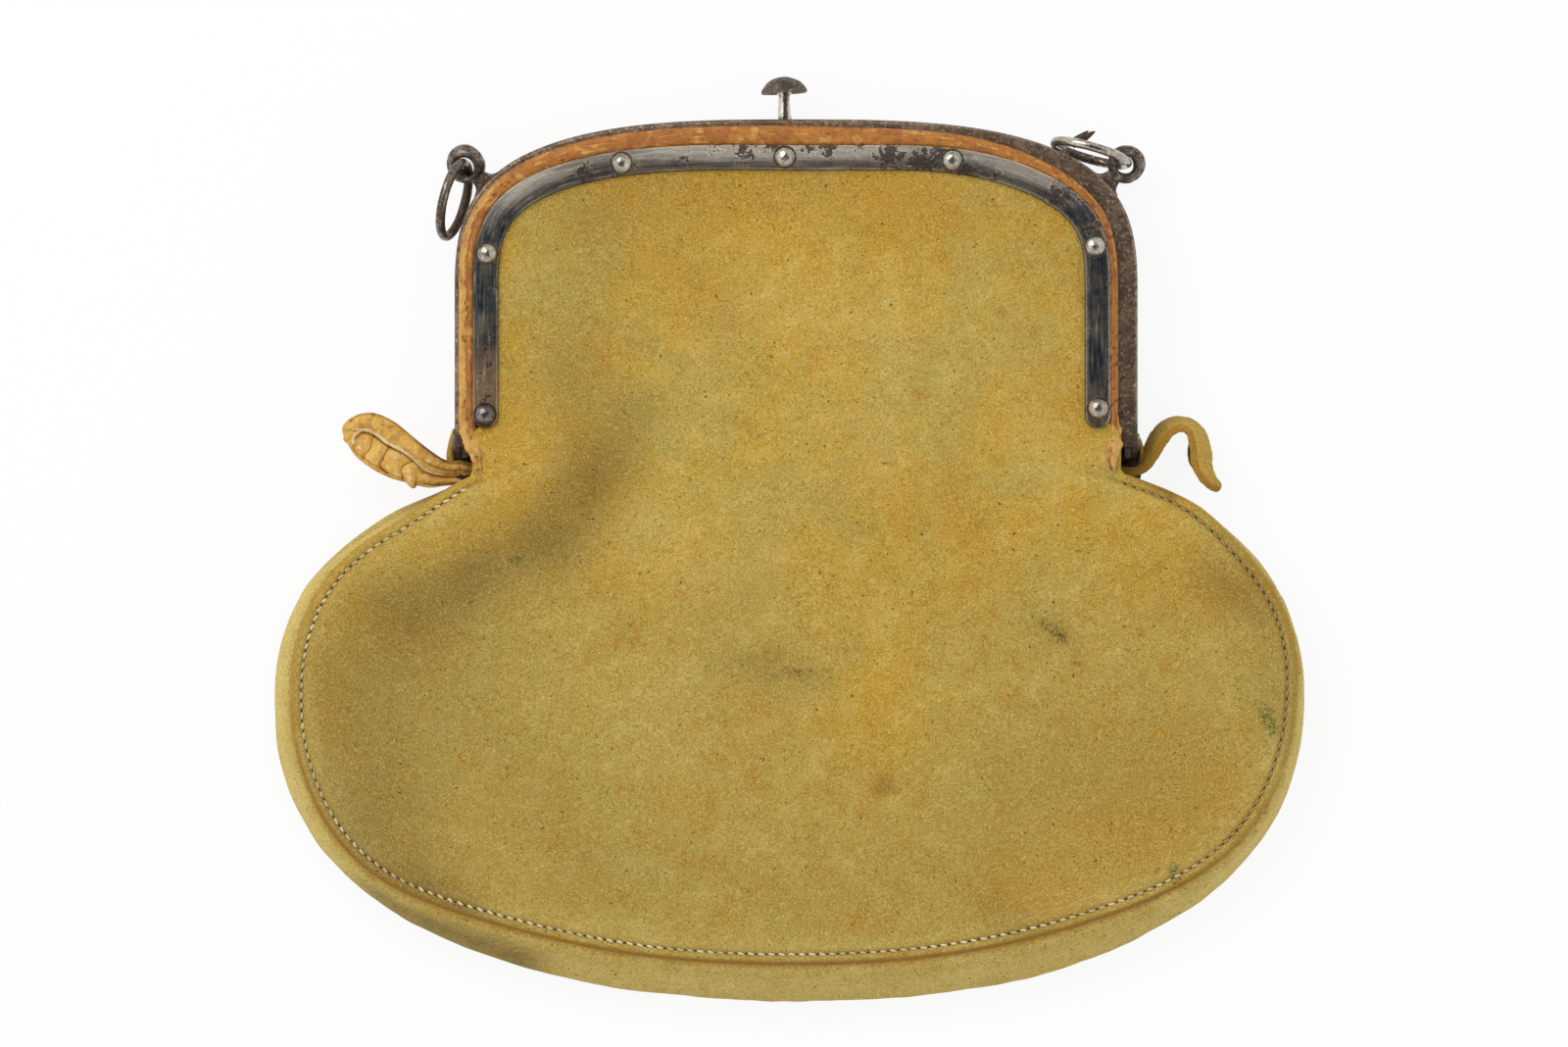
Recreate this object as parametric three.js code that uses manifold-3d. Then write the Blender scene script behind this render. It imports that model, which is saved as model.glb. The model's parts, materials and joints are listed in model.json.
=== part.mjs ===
// A hunting pouch: a suede bag hung on a hinged steel frame with a push-button catch.
// It lies on its back with its front up, as an empty pouch lies on a table.
// X runs across the pouch, Y from the foot of the bag towards the push button, Z up.
// All lengths are millimetres. The model is worked out about the hinge axis (y = 0)
// and the table (z = 0), and is moved along Y at the end to centre it.

import * as THREE from "three";
import { mergeVertices } from "three/addons/utils/BufferGeometryUtils.js";
import Module from "manifold-3d";

const wasm = await Module();
wasm.setup();

// Leather and general fits
const SUEDE = 1.6;
const GUSSET_SUEDE = 1.4;
const LAYER_GAP = 0.1;
const FIT = 0.3;

// Steel bows: two L-section arches, seen from the front as the outer rim of the frame
const BOW_HALF_WIDTH = 87.25;
const BOW_LEG = 38;
const BOW_CROWN = 44;
const BOW_ROUNDNESS = 3;
const BOW_SHEET = 1.5;
const BOW_FLANGE = 13.6;
const BOW_LEG_TAIL = 1;
const REAR_WALL = 8;
const FRONT_WALL = 5.3;
const RIM_CHAMFER = 0.5;

// Clamping bands that hold the leather to the bows
const BAND_INSET = 6.5;
const BAND_WIDTH = 6.8;
const BAND_SHEET = 1.2;
const BAND_END_HEIGHT = 3.75;

// Rivets through band, leather and flange
const RIVET_HEAD_RADIUS = 2.5;
const RIVET_HEAD_HEIGHT = 1.5;
const RIVET_SHANK_RADIUS = 0.9;
const RIVET_TAIL_RADIUS = 1.5;
const RIVET_TAIL_HEIGHT = 0.4;
const RIVET_END_HEIGHT = 8.6;
const RIVET_SIDE_HEIGHT = 49;
const RIVET_TOP_OFFSET = 42;

// Rolled leather piping between band and rim, fatter on the left leg than on the right
const PIPING_LEFT_WIDTH = 5;
const PIPING_RIGHT_WIDTH = 2.8;
const PIPING_HEIGHT = 2.6;

// Frame hinge
const EAR_RADIUS = 3.8;
const PIN_RADIUS = 1.2;
const PIN_HEAD_RADIUS = 2.2;
const PIN_HEAD_HEIGHT = 0.8;

// Push button and its catch, on the crown of the rear bow
const BUTTON_SHIFT = -1.5;
const BUTTON_TRAVEL = 2.5;
const CAP_RADIUS = 5.6;
const CAP_HEIGHT = 4.8;
const CAP_BRIM = 0.7;
const STEM_SHOWN = 7.5;
const STEM_TOP_RADIUS = 1.4;
const STEM_FOOT_RADIUS = 1.8;
const STEM_SHANK_RADIUS = 1.4;
const STEM_WAIST_RADIUS = 1;
const STEM_COLLAR_RADIUS = 2.1;
const STEM_COLLAR = 0.8;
const SPRING_LENGTH = 6.4;
const SPRING_WIRE = 0.6;
const SPRING_TURNS = 4;
const CATCH_SHEET = 0.8;
const CATCH_WIDTH = 8;
const CATCH_LIP = 0.2;

// Strap eyelets and rings
const EYELET_BEARING = 19.5;
const COLLAR_HALF_LENGTH = 4;
const COLLAR_HALF_DEPTH = 3.2;
const COLLAR_HEIGHT = 2.2;
const NECK_RADIUS = 1.7;
const EYE_REACH = 7.8;
const EYE_RADIUS = 3.3;
const EYE_WIRE = 0.95;
const EYELET_SHANK_RADIUS = 1.2;
const RING_RADIUS = 9.7;
const RING_WIRE = 1.2;
const LEFT_RING_SWING = 119.5;
const LEFT_RING_LEAN = -14;
const RIGHT_RING_SWING = 119.5;
const RIGHT_RING_LEAN = -9;

// Outline of the bag: the front and back panels' edges, which the gusset joins. Each
// edge passes the bow's outer face a set drop below the hinge axis.
const BODY_ROUNDNESS = 2.2;
const FRONT_HALF_WIDTH = 127.25;
const FRONT_SEAM_DROP = 9.9;
const FRONT_FOOT = -132.75;
const BACK_HALF_WIDTH = 128.5;
const BACK_SEAM_DROP = 9.3;
const BACK_FOOT = -139;
const PANEL_CROWN = 5;
const PANEL_CENTRE = -45;
const BACK_RISE_FOOT = -28.5;
const BACK_RISE_TOP = -2;
const DENT_DEPTH = 2.2;
const DENT_WIDTH = 20;
const GUSSET_FLANGE = 3.6;
const GUSSET_SIDE_BULGE = 3.4;
const GUSSET_FOOT_BULGE = 6.4;
const GUSSET_HINGE_GAP = 3;

// Pull tabs that come out of the bag beside the hinges
const LEFT_TAB_REACH = 27;
const RIGHT_TAB_REACH = 23;
const TAB_THICKNESS = 2;
const TAB_LINING = 0.7;
const TAB_ROOT_HALF_WIDTH = 3;
const TAB_HALF_WIDTH = 6.3;
const TAB_LINING_MARGIN = 2.2;
const TAB_LINING_START = 0.16;
const TAB_LINING_END = 0.93;

// Heights of the layers, from the table up
const REAR_BAND_Z = RIVET_HEAD_HEIGHT + LAYER_GAP;
const BACK_PANEL_Z = REAR_BAND_Z + BAND_SHEET + LAYER_GAP;
const REAR_BOW_Z = BACK_PANEL_Z + SUEDE + LAYER_GAP;
const MEETING_Z = REAR_BOW_Z + REAR_WALL;
const FRONT_BOW_TOP = MEETING_Z + FRONT_WALL;
const FRONT_PANEL_Z = FRONT_BOW_TOP + LAYER_GAP;
const FRONT_BAND_Z = FRONT_PANEL_Z + SUEDE + LAYER_GAP;
const FRONT_RIVET_Z = FRONT_BAND_Z + BAND_SHEET + LAYER_GAP;
const REAR_INSIDE_Z = REAR_BOW_Z + BOW_SHEET;
const FRONT_INSIDE_Z = FRONT_BOW_TOP - BOW_SHEET;

// Places that several pieces share
const ARCH_TOP = BOW_LEG + BOW_CROWN;
const BAND_CENTRE = BAND_INSET + BAND_WIDTH / 2;
const PANEL_INSET = BAND_INSET + LAYER_GAP;
const RIVET_HOLE_RADIUS = RIVET_SHANK_RADIUS + FIT;
const PIN_HOLE_RADIUS = PIN_RADIUS + FIT;
const BUTTON_Z = REAR_BOW_Z + BOW_SHEET + (REAR_WALL - BOW_SHEET) * 0.58;
const BUTTON_TOP = ARCH_TOP + STEM_SHOWN + CAP_HEIGHT;
const EYELET_Z = REAR_BOW_Z + REAR_WALL / 2;
const BODY_FOOT = (FRONT_FOOT + BACK_FOOT) / 2 - GUSSET_FOOT_BULGE;
const GUSSET_END_X = BOW_HALF_WIDTH + GUSSET_HINGE_GAP;

// Facet counts
const ARCH_STEPS = 30;
const ROUND_SIDES = 12;
const RIVET_SIDES = 10;
const PANEL_SIDES = 80;
const PANEL_RINGS = [1, 0.9, 0.68, 0.38];
const GUSSET_STEPS = 48;

const material = (color, roughness, metalness) =>
  new THREE.MeshStandardMaterial({ color, roughness, metalness });
const STEEL = material(0x5c5550, 0.45, 1);
const BLUED_STEEL = material(0x6b6e74, 0.35, 1);
const BRIGHT_STEEL = material(0xb4aea2, 0.25, 1);
const SUEDE_HIDE = material(0xb0964a, 0.95, 0);
const PIPING_HIDE = material(0xb9762f, 0.6, 0);
const TAB_HIDE = material(0xc79a52, 0.7, 0);

// Closed solids from points and triangles

function solidOf(points, triangles) {
  const build = (faces) =>
    new wasm.Manifold(
      new wasm.Mesh({
        numProp: 3,
        vertProperties: new Float32Array(points.flatMap((p) => [p.x, p.y, p.z])),
        triVerts: new Uint32Array(faces.flat()),
      }),
    );
  const solid = build(triangles);
  return solid.volume() > 0 ? solid : build(triangles.map(([a, b, c]) => [a, c, b]));
}

function solidOfGeometry(geometry) {
  const bare = geometry.clone();
  bare.deleteAttribute("normal");
  bare.deleteAttribute("uv");
  const merged = mergeVertices(bare, 1e-4);
  const at = merged.getAttribute("position");
  const points = Array.from({ length: at.count }, (_, i) => new THREE.Vector3().fromBufferAttribute(at, i));
  const index = merged.index.array;
  const triangles = [];
  for (let i = 0; i < index.length; i += 3) {
    const [a, b, c] = index.slice(i, i + 3);
    if (a !== b && b !== c && c !== a) triangles.push([a, b, c]);
  }
  return solidOf(points, triangles);
}

function geometryOf(solid) {
  const { vertProperties, triVerts } = solid.getMesh();
  const geometry = new THREE.BufferGeometry();
  geometry.setAttribute("position", new THREE.BufferAttribute(vertProperties, 3));
  geometry.setIndex(new THREE.BufferAttribute(triVerts, 1));
  geometry.computeVertexNormals();
  return geometry;
}

const cut = (solid, tools) => tools.reduce((left, tool) => left.subtract(tool), solid);
const join = (solids) => solids.reduce((all, next) => all.add(next));

// A solid swept through closed sections: sections[i] is a list of flat points and
// place(i, point) puts one of them in space. The end sections are capped.
function sweep(sections, place) {
  const sides = sections[0].length;
  const points = sections.flatMap((section, i) => section.map((p) => place(i, p)));
  const triangles = [];
  for (let i = 0; i + 1 < sections.length; i++) {
    for (let k = 0; k < sides; k++) {
      const next = (k + 1) % sides;
      const [a, b, c, d] = [i * sides + k, i * sides + next, (i + 1) * sides + next, (i + 1) * sides + k];
      triangles.push([a, b, c], [a, c, d]);
    }
  }
  const last = (sections.length - 1) * sides;
  const windsForward = THREE.ShapeUtils.area(sections[0]) > 0;
  for (const [a, b, c] of THREE.ShapeUtils.triangulateShape(sections[0], [])) {
    triangles.push(windsForward ? [a, c, b] : [a, b, c]);
  }
  const endWindsForward = THREE.ShapeUtils.area(sections.at(-1)) > 0;
  for (const [a, b, c] of THREE.ShapeUtils.triangulateShape(sections.at(-1), [])) {
    triangles.push(endWindsForward ? [last + a, last + b, last + c] : [last + a, last + c, last + b]);
  }
  return solidOf(points, triangles);
}

// A turned solid about +Y from [radius, height] pairs that start and end on the axis.
function turned(profile, sides = ROUND_SIDES) {
  const points = profile.map(([r, y]) => new THREE.Vector2(r, y));
  return solidOfGeometry(new THREE.LatheGeometry(points, sides));
}

// A plain cylinder between two points.
function rod(from, to, radius, sides = ROUND_SIDES) {
  const along = new THREE.Vector3().subVectors(to, from);
  const geometry = new THREE.CylinderGeometry(radius, radius, along.length(), sides);
  geometry.applyQuaternion(
    new THREE.Quaternion().setFromUnitVectors(new THREE.Vector3(0, 1, 0), along.clone().normalize()),
  );
  geometry.translate(...new THREE.Vector3().addVectors(from, to).multiplyScalar(0.5).toArray());
  return solidOfGeometry(geometry);
}

function block(low, high) {
  const geometry = new THREE.BoxGeometry(high.x - low.x, high.y - low.y, high.z - low.z);
  geometry.translate((low.x + high.x) / 2, (low.y + high.y) / 2, (low.z + high.z) / 2);
  return solidOfGeometry(geometry);
}

const v2 = (x, y) => new THREE.Vector2(x, y);
const v3 = (x, y, z) => new THREE.Vector3(x, y, z);
const blend = THREE.MathUtils.lerp;
const ease = THREE.MathUtils.smoothstep;

// The arch that every piece of the frame follows

// A point of the arched part at an angle about the middle of its springing line,
// with the outward normal there.
function archPoint(angle) {
  const [c, s] = [Math.cos(angle), Math.sin(angle)];
  const n = BOW_ROUNDNESS;
  const reach = (Math.abs(c / BOW_HALF_WIDTH) ** n + Math.abs(s / BOW_CROWN) ** n) ** (-1 / n);
  const [x, y] = [reach * c, reach * s];
  const normal = v2(
    (Math.sign(x) * Math.abs(x / BOW_HALF_WIDTH) ** (n - 1)) / BOW_HALF_WIDTH,
    Math.abs(y / BOW_CROWN) ** (n - 1) / BOW_CROWN,
  ).normalize();
  return { x, y: y + BOW_LEG, out: normal };
}

// Stations on the outer edge of the bows, from the foot of the left leg over the
// crown to the foot of the right leg. legFeet lists heights on the legs, lowest first.
function archStations(legFeet) {
  const leg = (side) => legFeet.map((y) => ({ x: side * BOW_HALF_WIDTH, y, out: v2(side, 0) }));
  const arc = [];
  for (let i = 0; i <= ARCH_STEPS; i++) arc.push(archPoint(Math.PI * (1 - i / ARCH_STEPS)));
  return [...leg(-1), ...arc, ...leg(1).reverse()];
}

const inward = (station, inset, z) =>
  v3(station.x - station.out.x * inset, station.y - station.out.y * inset, z);

// The station whose band centre line passes a wanted height (on a leg) or x (on the crown).
function stationAtHeight(side, y) {
  if (y <= BOW_LEG) return { x: side * BOW_HALF_WIDTH, y, out: v2(side, 0) };
  return stationWhere(side, (p) => p.y - y);
}

function stationAtX(x) {
  return stationWhere(Math.sign(x) || 1, (p) => Math.abs(x) - Math.abs(p.x));
}

// Bisection over one half of the arch: error rises with the angle above the springing line.
function stationWhere(side, error) {
  let [low, high] = [0, Math.PI / 2];
  for (let i = 0; i < 50; i++) {
    const middle = (low + high) / 2;
    const station = archPoint(side > 0 ? middle : Math.PI - middle);
    if (error(inward(station, BAND_CENTRE, 0)) < 0) low = middle;
    else high = middle;
  }
  return archPoint(side > 0 ? low : Math.PI - low);
}

// Rivet places along the frame, left foot to right foot
const RIVETS = [
  { name: "left_foot", station: stationAtHeight(-1, RIVET_END_HEIGHT) },
  { name: "left_side", station: stationAtHeight(-1, RIVET_SIDE_HEIGHT) },
  { name: "left_top", station: stationAtX(BUTTON_SHIFT - RIVET_TOP_OFFSET) },
  { name: "centre", station: stationAtX(BUTTON_SHIFT), holdsCatch: true },
  { name: "right_top", station: stationAtX(BUTTON_SHIFT + RIVET_TOP_OFFSET) },
  { name: "right_side", station: stationAtHeight(1, RIVET_SIDE_HEIGHT) },
  { name: "right_foot", station: stationAtHeight(1, RIVET_END_HEIGHT) },
].map((rivet) => ({ ...rivet, at: inward(rivet.station, BAND_CENTRE, 0) }));

const rivetHoles = (low, high) =>
  RIVETS.map(({ at }) => rod(v3(at.x, at.y, low - 1), v3(at.x, at.y, high + 1), RIVET_HOLE_RADIUS, RIVET_SIDES));

// Bows

// The L section of a bow in (inset, z): a flange that faces out and a wall towards the other bow.
function bowSection(faceZ, insideZ, wallEndZ) {
  const facing = Math.sign(faceZ - insideZ);
  return [
    v2(RIM_CHAMFER, faceZ),
    v2(0, faceZ - facing * RIM_CHAMFER),
    v2(0, wallEndZ),
    v2(BOW_SHEET, wallEndZ),
    v2(BOW_SHEET, insideZ),
    v2(BOW_FLANGE, insideZ),
    v2(BOW_FLANGE, faceZ),
  ];
}

function bow(faceZ, insideZ, wallEndZ) {
  const stations = archStations([-BOW_LEG_TAIL, BOW_LEG / 2]);
  const section = bowSection(faceZ, insideZ, wallEndZ);
  return sweep(
    stations.map(() => section),
    (i, p) => inward(stations[i], p.x, p.y),
  );
}

// A flat ear round the hinge pin, from `inner` to `inner + BOW_SHEET` out from the middle.
// It carries on upwards by `root`, to the flange that it is bent from.
function hingeEar(side, inner, root) {
  const outline = new THREE.Shape();
  outline.absarc(0, 0, EAR_RADIUS, Math.PI, 2 * Math.PI, false);
  if (root > 0) {
    outline.lineTo(EAR_RADIUS, root);
    outline.lineTo(-EAR_RADIUS, root);
  } else {
    outline.absarc(0, 0, EAR_RADIUS, 0, Math.PI, false);
  }
  const plate = new THREE.ExtrudeGeometry(outline, {
    depth: BOW_SHEET,
    bevelEnabled: false,
    curveSegments: ROUND_SIDES / 2,
  });
  // The drawing plane (x, y) becomes (y, z), and the depth runs along x.
  plate.applyMatrix4(new THREE.Matrix4().makeBasis(v3(0, 1, 0), v3(0, 0, 1), v3(1, 0, 0)));
  plate.translate(side > 0 ? inner : -inner - BOW_SHEET, 0, MEETING_Z);
  return solidOfGeometry(plate);
}

const hingeBore = (side, radius) =>
  rod(v3(side * (BOW_HALF_WIDTH - BOW_FLANGE), 0, MEETING_Z), v3(side * (BOW_HALF_WIDTH + 1), 0, MEETING_Z), radius);

const REAR_EAR_INNER = BOW_HALF_WIDTH - BOW_SHEET;
const FRONT_EAR_INNER = REAR_EAR_INNER - FIT - BOW_SHEET;
const SIDES = [-1, 1];

function eyeletPlace(side) {
  const bearing = THREE.MathUtils.degToRad(EYELET_BEARING);
  return archPoint(side > 0 ? bearing : Math.PI - bearing);
}

function rearBow() {
  const arch = bow(REAR_BOW_Z, REAR_INSIDE_Z, MEETING_Z - FIT / 2);
  const ears = SIDES.map((side) => hingeEar(side, REAR_EAR_INNER, 0));
  const eyeletBores = SIDES.map((side) => {
    const place = eyeletPlace(side);
    return rod(inward(place, -1, EYELET_Z), inward(place, BOW_SHEET + 1, EYELET_Z), EYELET_SHANK_RADIUS + FIT);
  });
  const stemBore = rod(
    v3(BUTTON_SHIFT, ARCH_TOP - BOW_SHEET - 1, BUTTON_Z),
    v3(BUTTON_SHIFT, ARCH_TOP + 1, BUTTON_Z),
    STEM_FOOT_RADIUS + FIT,
  );
  return cut(join([arch, ...ears]), [
    ...SIDES.map((side) => hingeBore(side, PIN_HOLE_RADIUS)),
    ...eyeletBores,
    stemBore,
    ...rivetHoles(REAR_BOW_Z, REAR_INSIDE_Z),
  ]);
}

function frontBow() {
  const arch = bow(FRONT_BOW_TOP, FRONT_INSIDE_Z, MEETING_Z + FIT / 2);
  const clearOfRearEars = SIDES.map((side) =>
    rod(
      v3(side * (REAR_EAR_INNER - FIT), 0, MEETING_Z),
      v3(side * (BOW_HALF_WIDTH + 1), 0, MEETING_Z),
      EAR_RADIUS + FIT,
      2 * ROUND_SIDES,
    ),
  );
  const ears = SIDES.map((side) => hingeEar(side, FRONT_EAR_INNER, FRONT_WALL - BOW_SHEET / 2));
  return cut(join([cut(arch, clearOfRearEars), ...ears]), [
    ...SIDES.map((side) => hingeBore(side, PIN_HOLE_RADIUS)),
    ...rivetHoles(FRONT_INSIDE_Z, FRONT_BOW_TOP),
  ]);
}

function hingePin() {
  const inner = FRONT_EAR_INNER - LAYER_GAP - PIN_HEAD_HEIGHT;
  const neck = FRONT_EAR_INNER - LAYER_GAP;
  const outer = BOW_HALF_WIDTH + LAYER_GAP;
  return turned([
    [0, inner],
    [PIN_HEAD_RADIUS, inner],
    [PIN_HEAD_RADIUS, neck],
    [PIN_RADIUS, neck],
    [PIN_RADIUS, outer],
    [PIN_HEAD_RADIUS, outer],
    [PIN_HEAD_RADIUS * 0.7, outer + PIN_HEAD_HEIGHT * 0.8],
    [0, outer + PIN_HEAD_HEIGHT],
  ]);
}

// Clamping bands, with round ends, and the piping beside them

function band(z) {
  const half = BAND_WIDTH / 2;
  const shares = [0.05, 0.2, 0.5, 1];
  const feet = shares.map((share) => BAND_END_HEIGHT + half * share);
  const stations = archStations([...feet, BOW_LEG / 2]);
  const edge = BAND_SHEET * 0.25;
  const sections = stations.map((station, i) => {
    const step = Math.min(i, stations.length - 1 - i);
    const share = step < shares.length ? shares[step] : 1;
    const width = half * Math.sqrt(1 - (1 - share) ** 2);
    const rim = Math.min(edge, width / 2);
    return [
      v2(BAND_CENTRE - width, z),
      v2(BAND_CENTRE + width, z),
      v2(BAND_CENTRE + width, z + BAND_SHEET - edge),
      v2(BAND_CENTRE + width - rim, z + BAND_SHEET),
      v2(BAND_CENTRE - width + rim, z + BAND_SHEET),
      v2(BAND_CENTRE - width, z + BAND_SHEET - edge),
    ];
  });
  const strip = sweep(sections, (i, p) => inward(stations[i], p.x, p.y));
  return cut(strip, rivetHoles(z, z + BAND_SHEET));
}

// Piping lies on a bow's flange at z and stands up by PIPING_HEIGHT along `up`.
function piping(z, up) {
  const stations = archStations([0, BOW_LEG / 2]);
  const sections = stations.map((station) => {
    const width = blend(PIPING_LEFT_WIDTH, PIPING_RIGHT_WIDTH, (station.x / BOW_HALF_WIDTH + 1) / 2);
    const middle = BAND_INSET - FIT - width / 2;
    return [0, 45, 90, 135, 180].map((degrees) => {
      const angle = THREE.MathUtils.degToRad(degrees);
      return v2(middle + (width / 2) * Math.cos(angle), z + up * PIPING_HEIGHT * Math.sin(angle) ** 0.7);
    });
  });
  return sweep(sections, (i, p) => inward(stations[i], p.x, p.y));
}

// A rivet about +Y: its head's seat is at y = 0 and its tail closes below `grip`.
function rivet(grip) {
  const tail = -grip - LAYER_GAP;
  return turned(
    [
      [0, tail - RIVET_TAIL_HEIGHT],
      [RIVET_TAIL_RADIUS, tail - RIVET_TAIL_HEIGHT],
      [RIVET_TAIL_RADIUS, tail],
      [RIVET_SHANK_RADIUS, tail],
      [RIVET_SHANK_RADIUS, 0],
      [RIVET_HEAD_RADIUS, 0],
      [RIVET_HEAD_RADIUS * 0.9, RIVET_HEAD_HEIGHT * 0.5],
      [RIVET_HEAD_RADIUS * 0.55, RIVET_HEAD_HEIGHT * 0.87],
      [0, RIVET_HEAD_HEIGHT],
    ],
    RIVET_SIDES,
  );
}

// Push button, its spring and the catch

const WALL_INSIDE = ARCH_TOP - BOW_SHEET;
const COLLAR_TOP = WALL_INSIDE - FIT;
const WAIST_TOP = COLLAR_TOP - STEM_COLLAR;
const WAIST_FOOT = WAIST_TOP - BUTTON_TRAVEL - CATCH_SHEET - 2 * FIT;
const SEAT_FOOT = WAIST_FOOT - STEM_COLLAR;
const SPRING_FOOT = SEAT_FOOT - FIT - SPRING_LENGTH;
const GUIDE_TOP = SPRING_FOOT - LAYER_GAP;
const STEM_FOOT = GUIDE_TOP - CATCH_SHEET - FIT;
const CATCH_Y = WAIST_FOOT + FIT;

function buttonCap() {
  const seat = ARCH_TOP + STEM_SHOWN + LAYER_GAP;
  const top = BUTTON_TOP;
  return turned([
    [0, seat],
    [CAP_RADIUS - CAP_BRIM, seat],
    [CAP_RADIUS, seat + CAP_BRIM],
    [CAP_RADIUS * 0.9, blend(seat, top, 0.5)],
    [CAP_RADIUS * 0.62, blend(seat, top, 0.84)],
    [CAP_RADIUS * 0.3, blend(seat, top, 0.97)],
    [0, top],
  ]);
}

function buttonStem() {
  return turned([
    [0, STEM_FOOT],
    [STEM_SHANK_RADIUS, STEM_FOOT],
    [STEM_SHANK_RADIUS, SEAT_FOOT],
    [STEM_COLLAR_RADIUS, SEAT_FOOT],
    [STEM_COLLAR_RADIUS, WAIST_FOOT],
    [STEM_WAIST_RADIUS, WAIST_FOOT],
    [STEM_WAIST_RADIUS, WAIST_TOP],
    [STEM_COLLAR_RADIUS, WAIST_TOP],
    [STEM_COLLAR_RADIUS, COLLAR_TOP],
    [STEM_FOOT_RADIUS, COLLAR_TOP],
    [STEM_FOOT_RADIUS, ARCH_TOP],
    [STEM_TOP_RADIUS, ARCH_TOP + STEM_SHOWN],
    [0, ARCH_TOP + STEM_SHOWN],
  ]);
}

class Helix extends THREE.Curve {
  getPoint(t, target = new THREE.Vector3()) {
    const angle = 2 * Math.PI * SPRING_TURNS * t;
    const radius = STEM_SHANK_RADIUS + FIT + SPRING_WIRE / 2;
    const y = blend(SPRING_FOOT + SPRING_WIRE / 2, SPRING_FOOT + SPRING_LENGTH - SPRING_WIRE / 2, t);
    return target.set(radius * Math.cos(angle), y, radius * Math.sin(angle));
  }
}

function buttonSpring() {
  const wire = new THREE.Shape().absarc(0, 0, SPRING_WIRE / 2, 0, 2 * Math.PI, false);
  return solidOfGeometry(
    new THREE.ExtrudeGeometry(wire, {
      steps: 8 * SPRING_TURNS,
      extrudePath: new Helix(),
      curveSegments: 3,
      bevelEnabled: false,
    }),
  );
}

const centreRivet = RIVETS.find((r) => r.holdsCatch);
const catchRivetHole = rod(
  v3(centreRivet.at.x, centreRivet.at.y, REAR_BOW_Z),
  v3(centreRivet.at.x, centreRivet.at.y, FRONT_BOW_TOP),
  RIVET_HOLE_RADIUS,
  RIVET_SIDES,
);

// A foot riveted to the rear flange, with an upright that guides the stem's lower end.
function stemGuide() {
  const z = REAR_INSIDE_Z + LAYER_GAP;
  const half = CATCH_WIDTH / 2;
  const low = GUIDE_TOP - CATCH_SHEET;
  const foot = block(v3(BUTTON_SHIFT - half, low, z), v3(BUTTON_SHIFT + half, WAIST_FOOT, z + CATCH_SHEET));
  const upright = block(
    v3(BUTTON_SHIFT - half, low, z),
    v3(BUTTON_SHIFT + half, GUIDE_TOP, BUTTON_Z + STEM_COLLAR_RADIUS + CATCH_SHEET),
  );
  const bore = rod(v3(BUTTON_SHIFT, low - 1, BUTTON_Z), v3(BUTTON_SHIFT, GUIDE_TOP + 1, BUTTON_Z), STEM_SHANK_RADIUS + FIT);
  return cut(join([foot, upright]), [bore, catchRivetHole]);
}

// A spring fork riveted to the front flange: its leg comes down astride the stem's
// waist, and two lips below the waist snap past it when the frame shuts.
function catchFork() {
  const top = FRONT_INSIDE_Z - LAYER_GAP;
  const half = CATCH_WIDTH / 2;
  const gap = STEM_WAIST_RADIUS + FIT;
  const tip = -STEM_COLLAR_RADIUS;
  const root = top - BUTTON_Z;
  const lip = STEM_WAIST_RADIUS - CATCH_LIP;
  const outline = new THREE.Shape();
  outline.moveTo(-half, root);
  outline.lineTo(-half, tip);
  outline.lineTo(-gap, tip);
  outline.lineTo(-lip, -gap);
  outline.absarc(0, 0, gap, THREE.MathUtils.degToRad(200), THREE.MathUtils.degToRad(-20), true);
  outline.lineTo(lip, -gap);
  outline.lineTo(gap, tip);
  outline.lineTo(half, tip);
  outline.lineTo(half, root);
  const plate = new THREE.ExtrudeGeometry(outline, { depth: CATCH_SHEET, bevelEnabled: false, curveSegments: 8 });
  // The drawing plane (x, y) becomes (x, z), and the depth runs along -y.
  plate.applyMatrix4(new THREE.Matrix4().makeBasis(v3(1, 0, 0), v3(0, 0, 1), v3(0, -1, 0)));
  plate.translate(BUTTON_SHIFT, CATCH_Y + CATCH_SHEET, BUTTON_Z);
  const rivetEdge = centreRivet.at.y - RIVET_TAIL_RADIUS - CATCH_SHEET;
  const foot = block(
    v3(BUTTON_SHIFT - half, rivetEdge, top - CATCH_SHEET),
    v3(BUTTON_SHIFT + half, CATCH_Y + CATCH_SHEET, top),
  );
  return cut(join([solidOfGeometry(plate), foot]), [catchRivetHole]);
}

// Strap eyelets and rings

// An eyelet about its own root on the rim: +Y points out of the frame.
function eyelet() {
  const base = LAYER_GAP;
  const tail = -BOW_SHEET - 2 * FIT;
  const post = turned([
    [0, tail - RIVET_TAIL_HEIGHT],
    [RIVET_TAIL_RADIUS + FIT, tail - RIVET_TAIL_HEIGHT],
    [RIVET_TAIL_RADIUS + FIT, tail],
    [EYELET_SHANK_RADIUS, tail],
    [EYELET_SHANK_RADIUS, base],
    [COLLAR_HALF_LENGTH, base],
    [COLLAR_HALF_LENGTH * 0.8, base + COLLAR_HEIGHT * 0.35],
    [NECK_RADIUS, base + COLLAR_HEIGHT],
    [NECK_RADIUS, EYE_REACH - EYE_RADIUS],
    [0, EYE_REACH - EYE_RADIUS],
  ]).scale([1, 1, COLLAR_HALF_DEPTH / COLLAR_HALF_LENGTH]);
  const eye = new THREE.TorusGeometry(EYE_RADIUS, EYE_WIRE, 8, 18);
  eye.translate(0, EYE_REACH, 0);
  return join([post, solidOfGeometry(eye)]);
}

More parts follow.
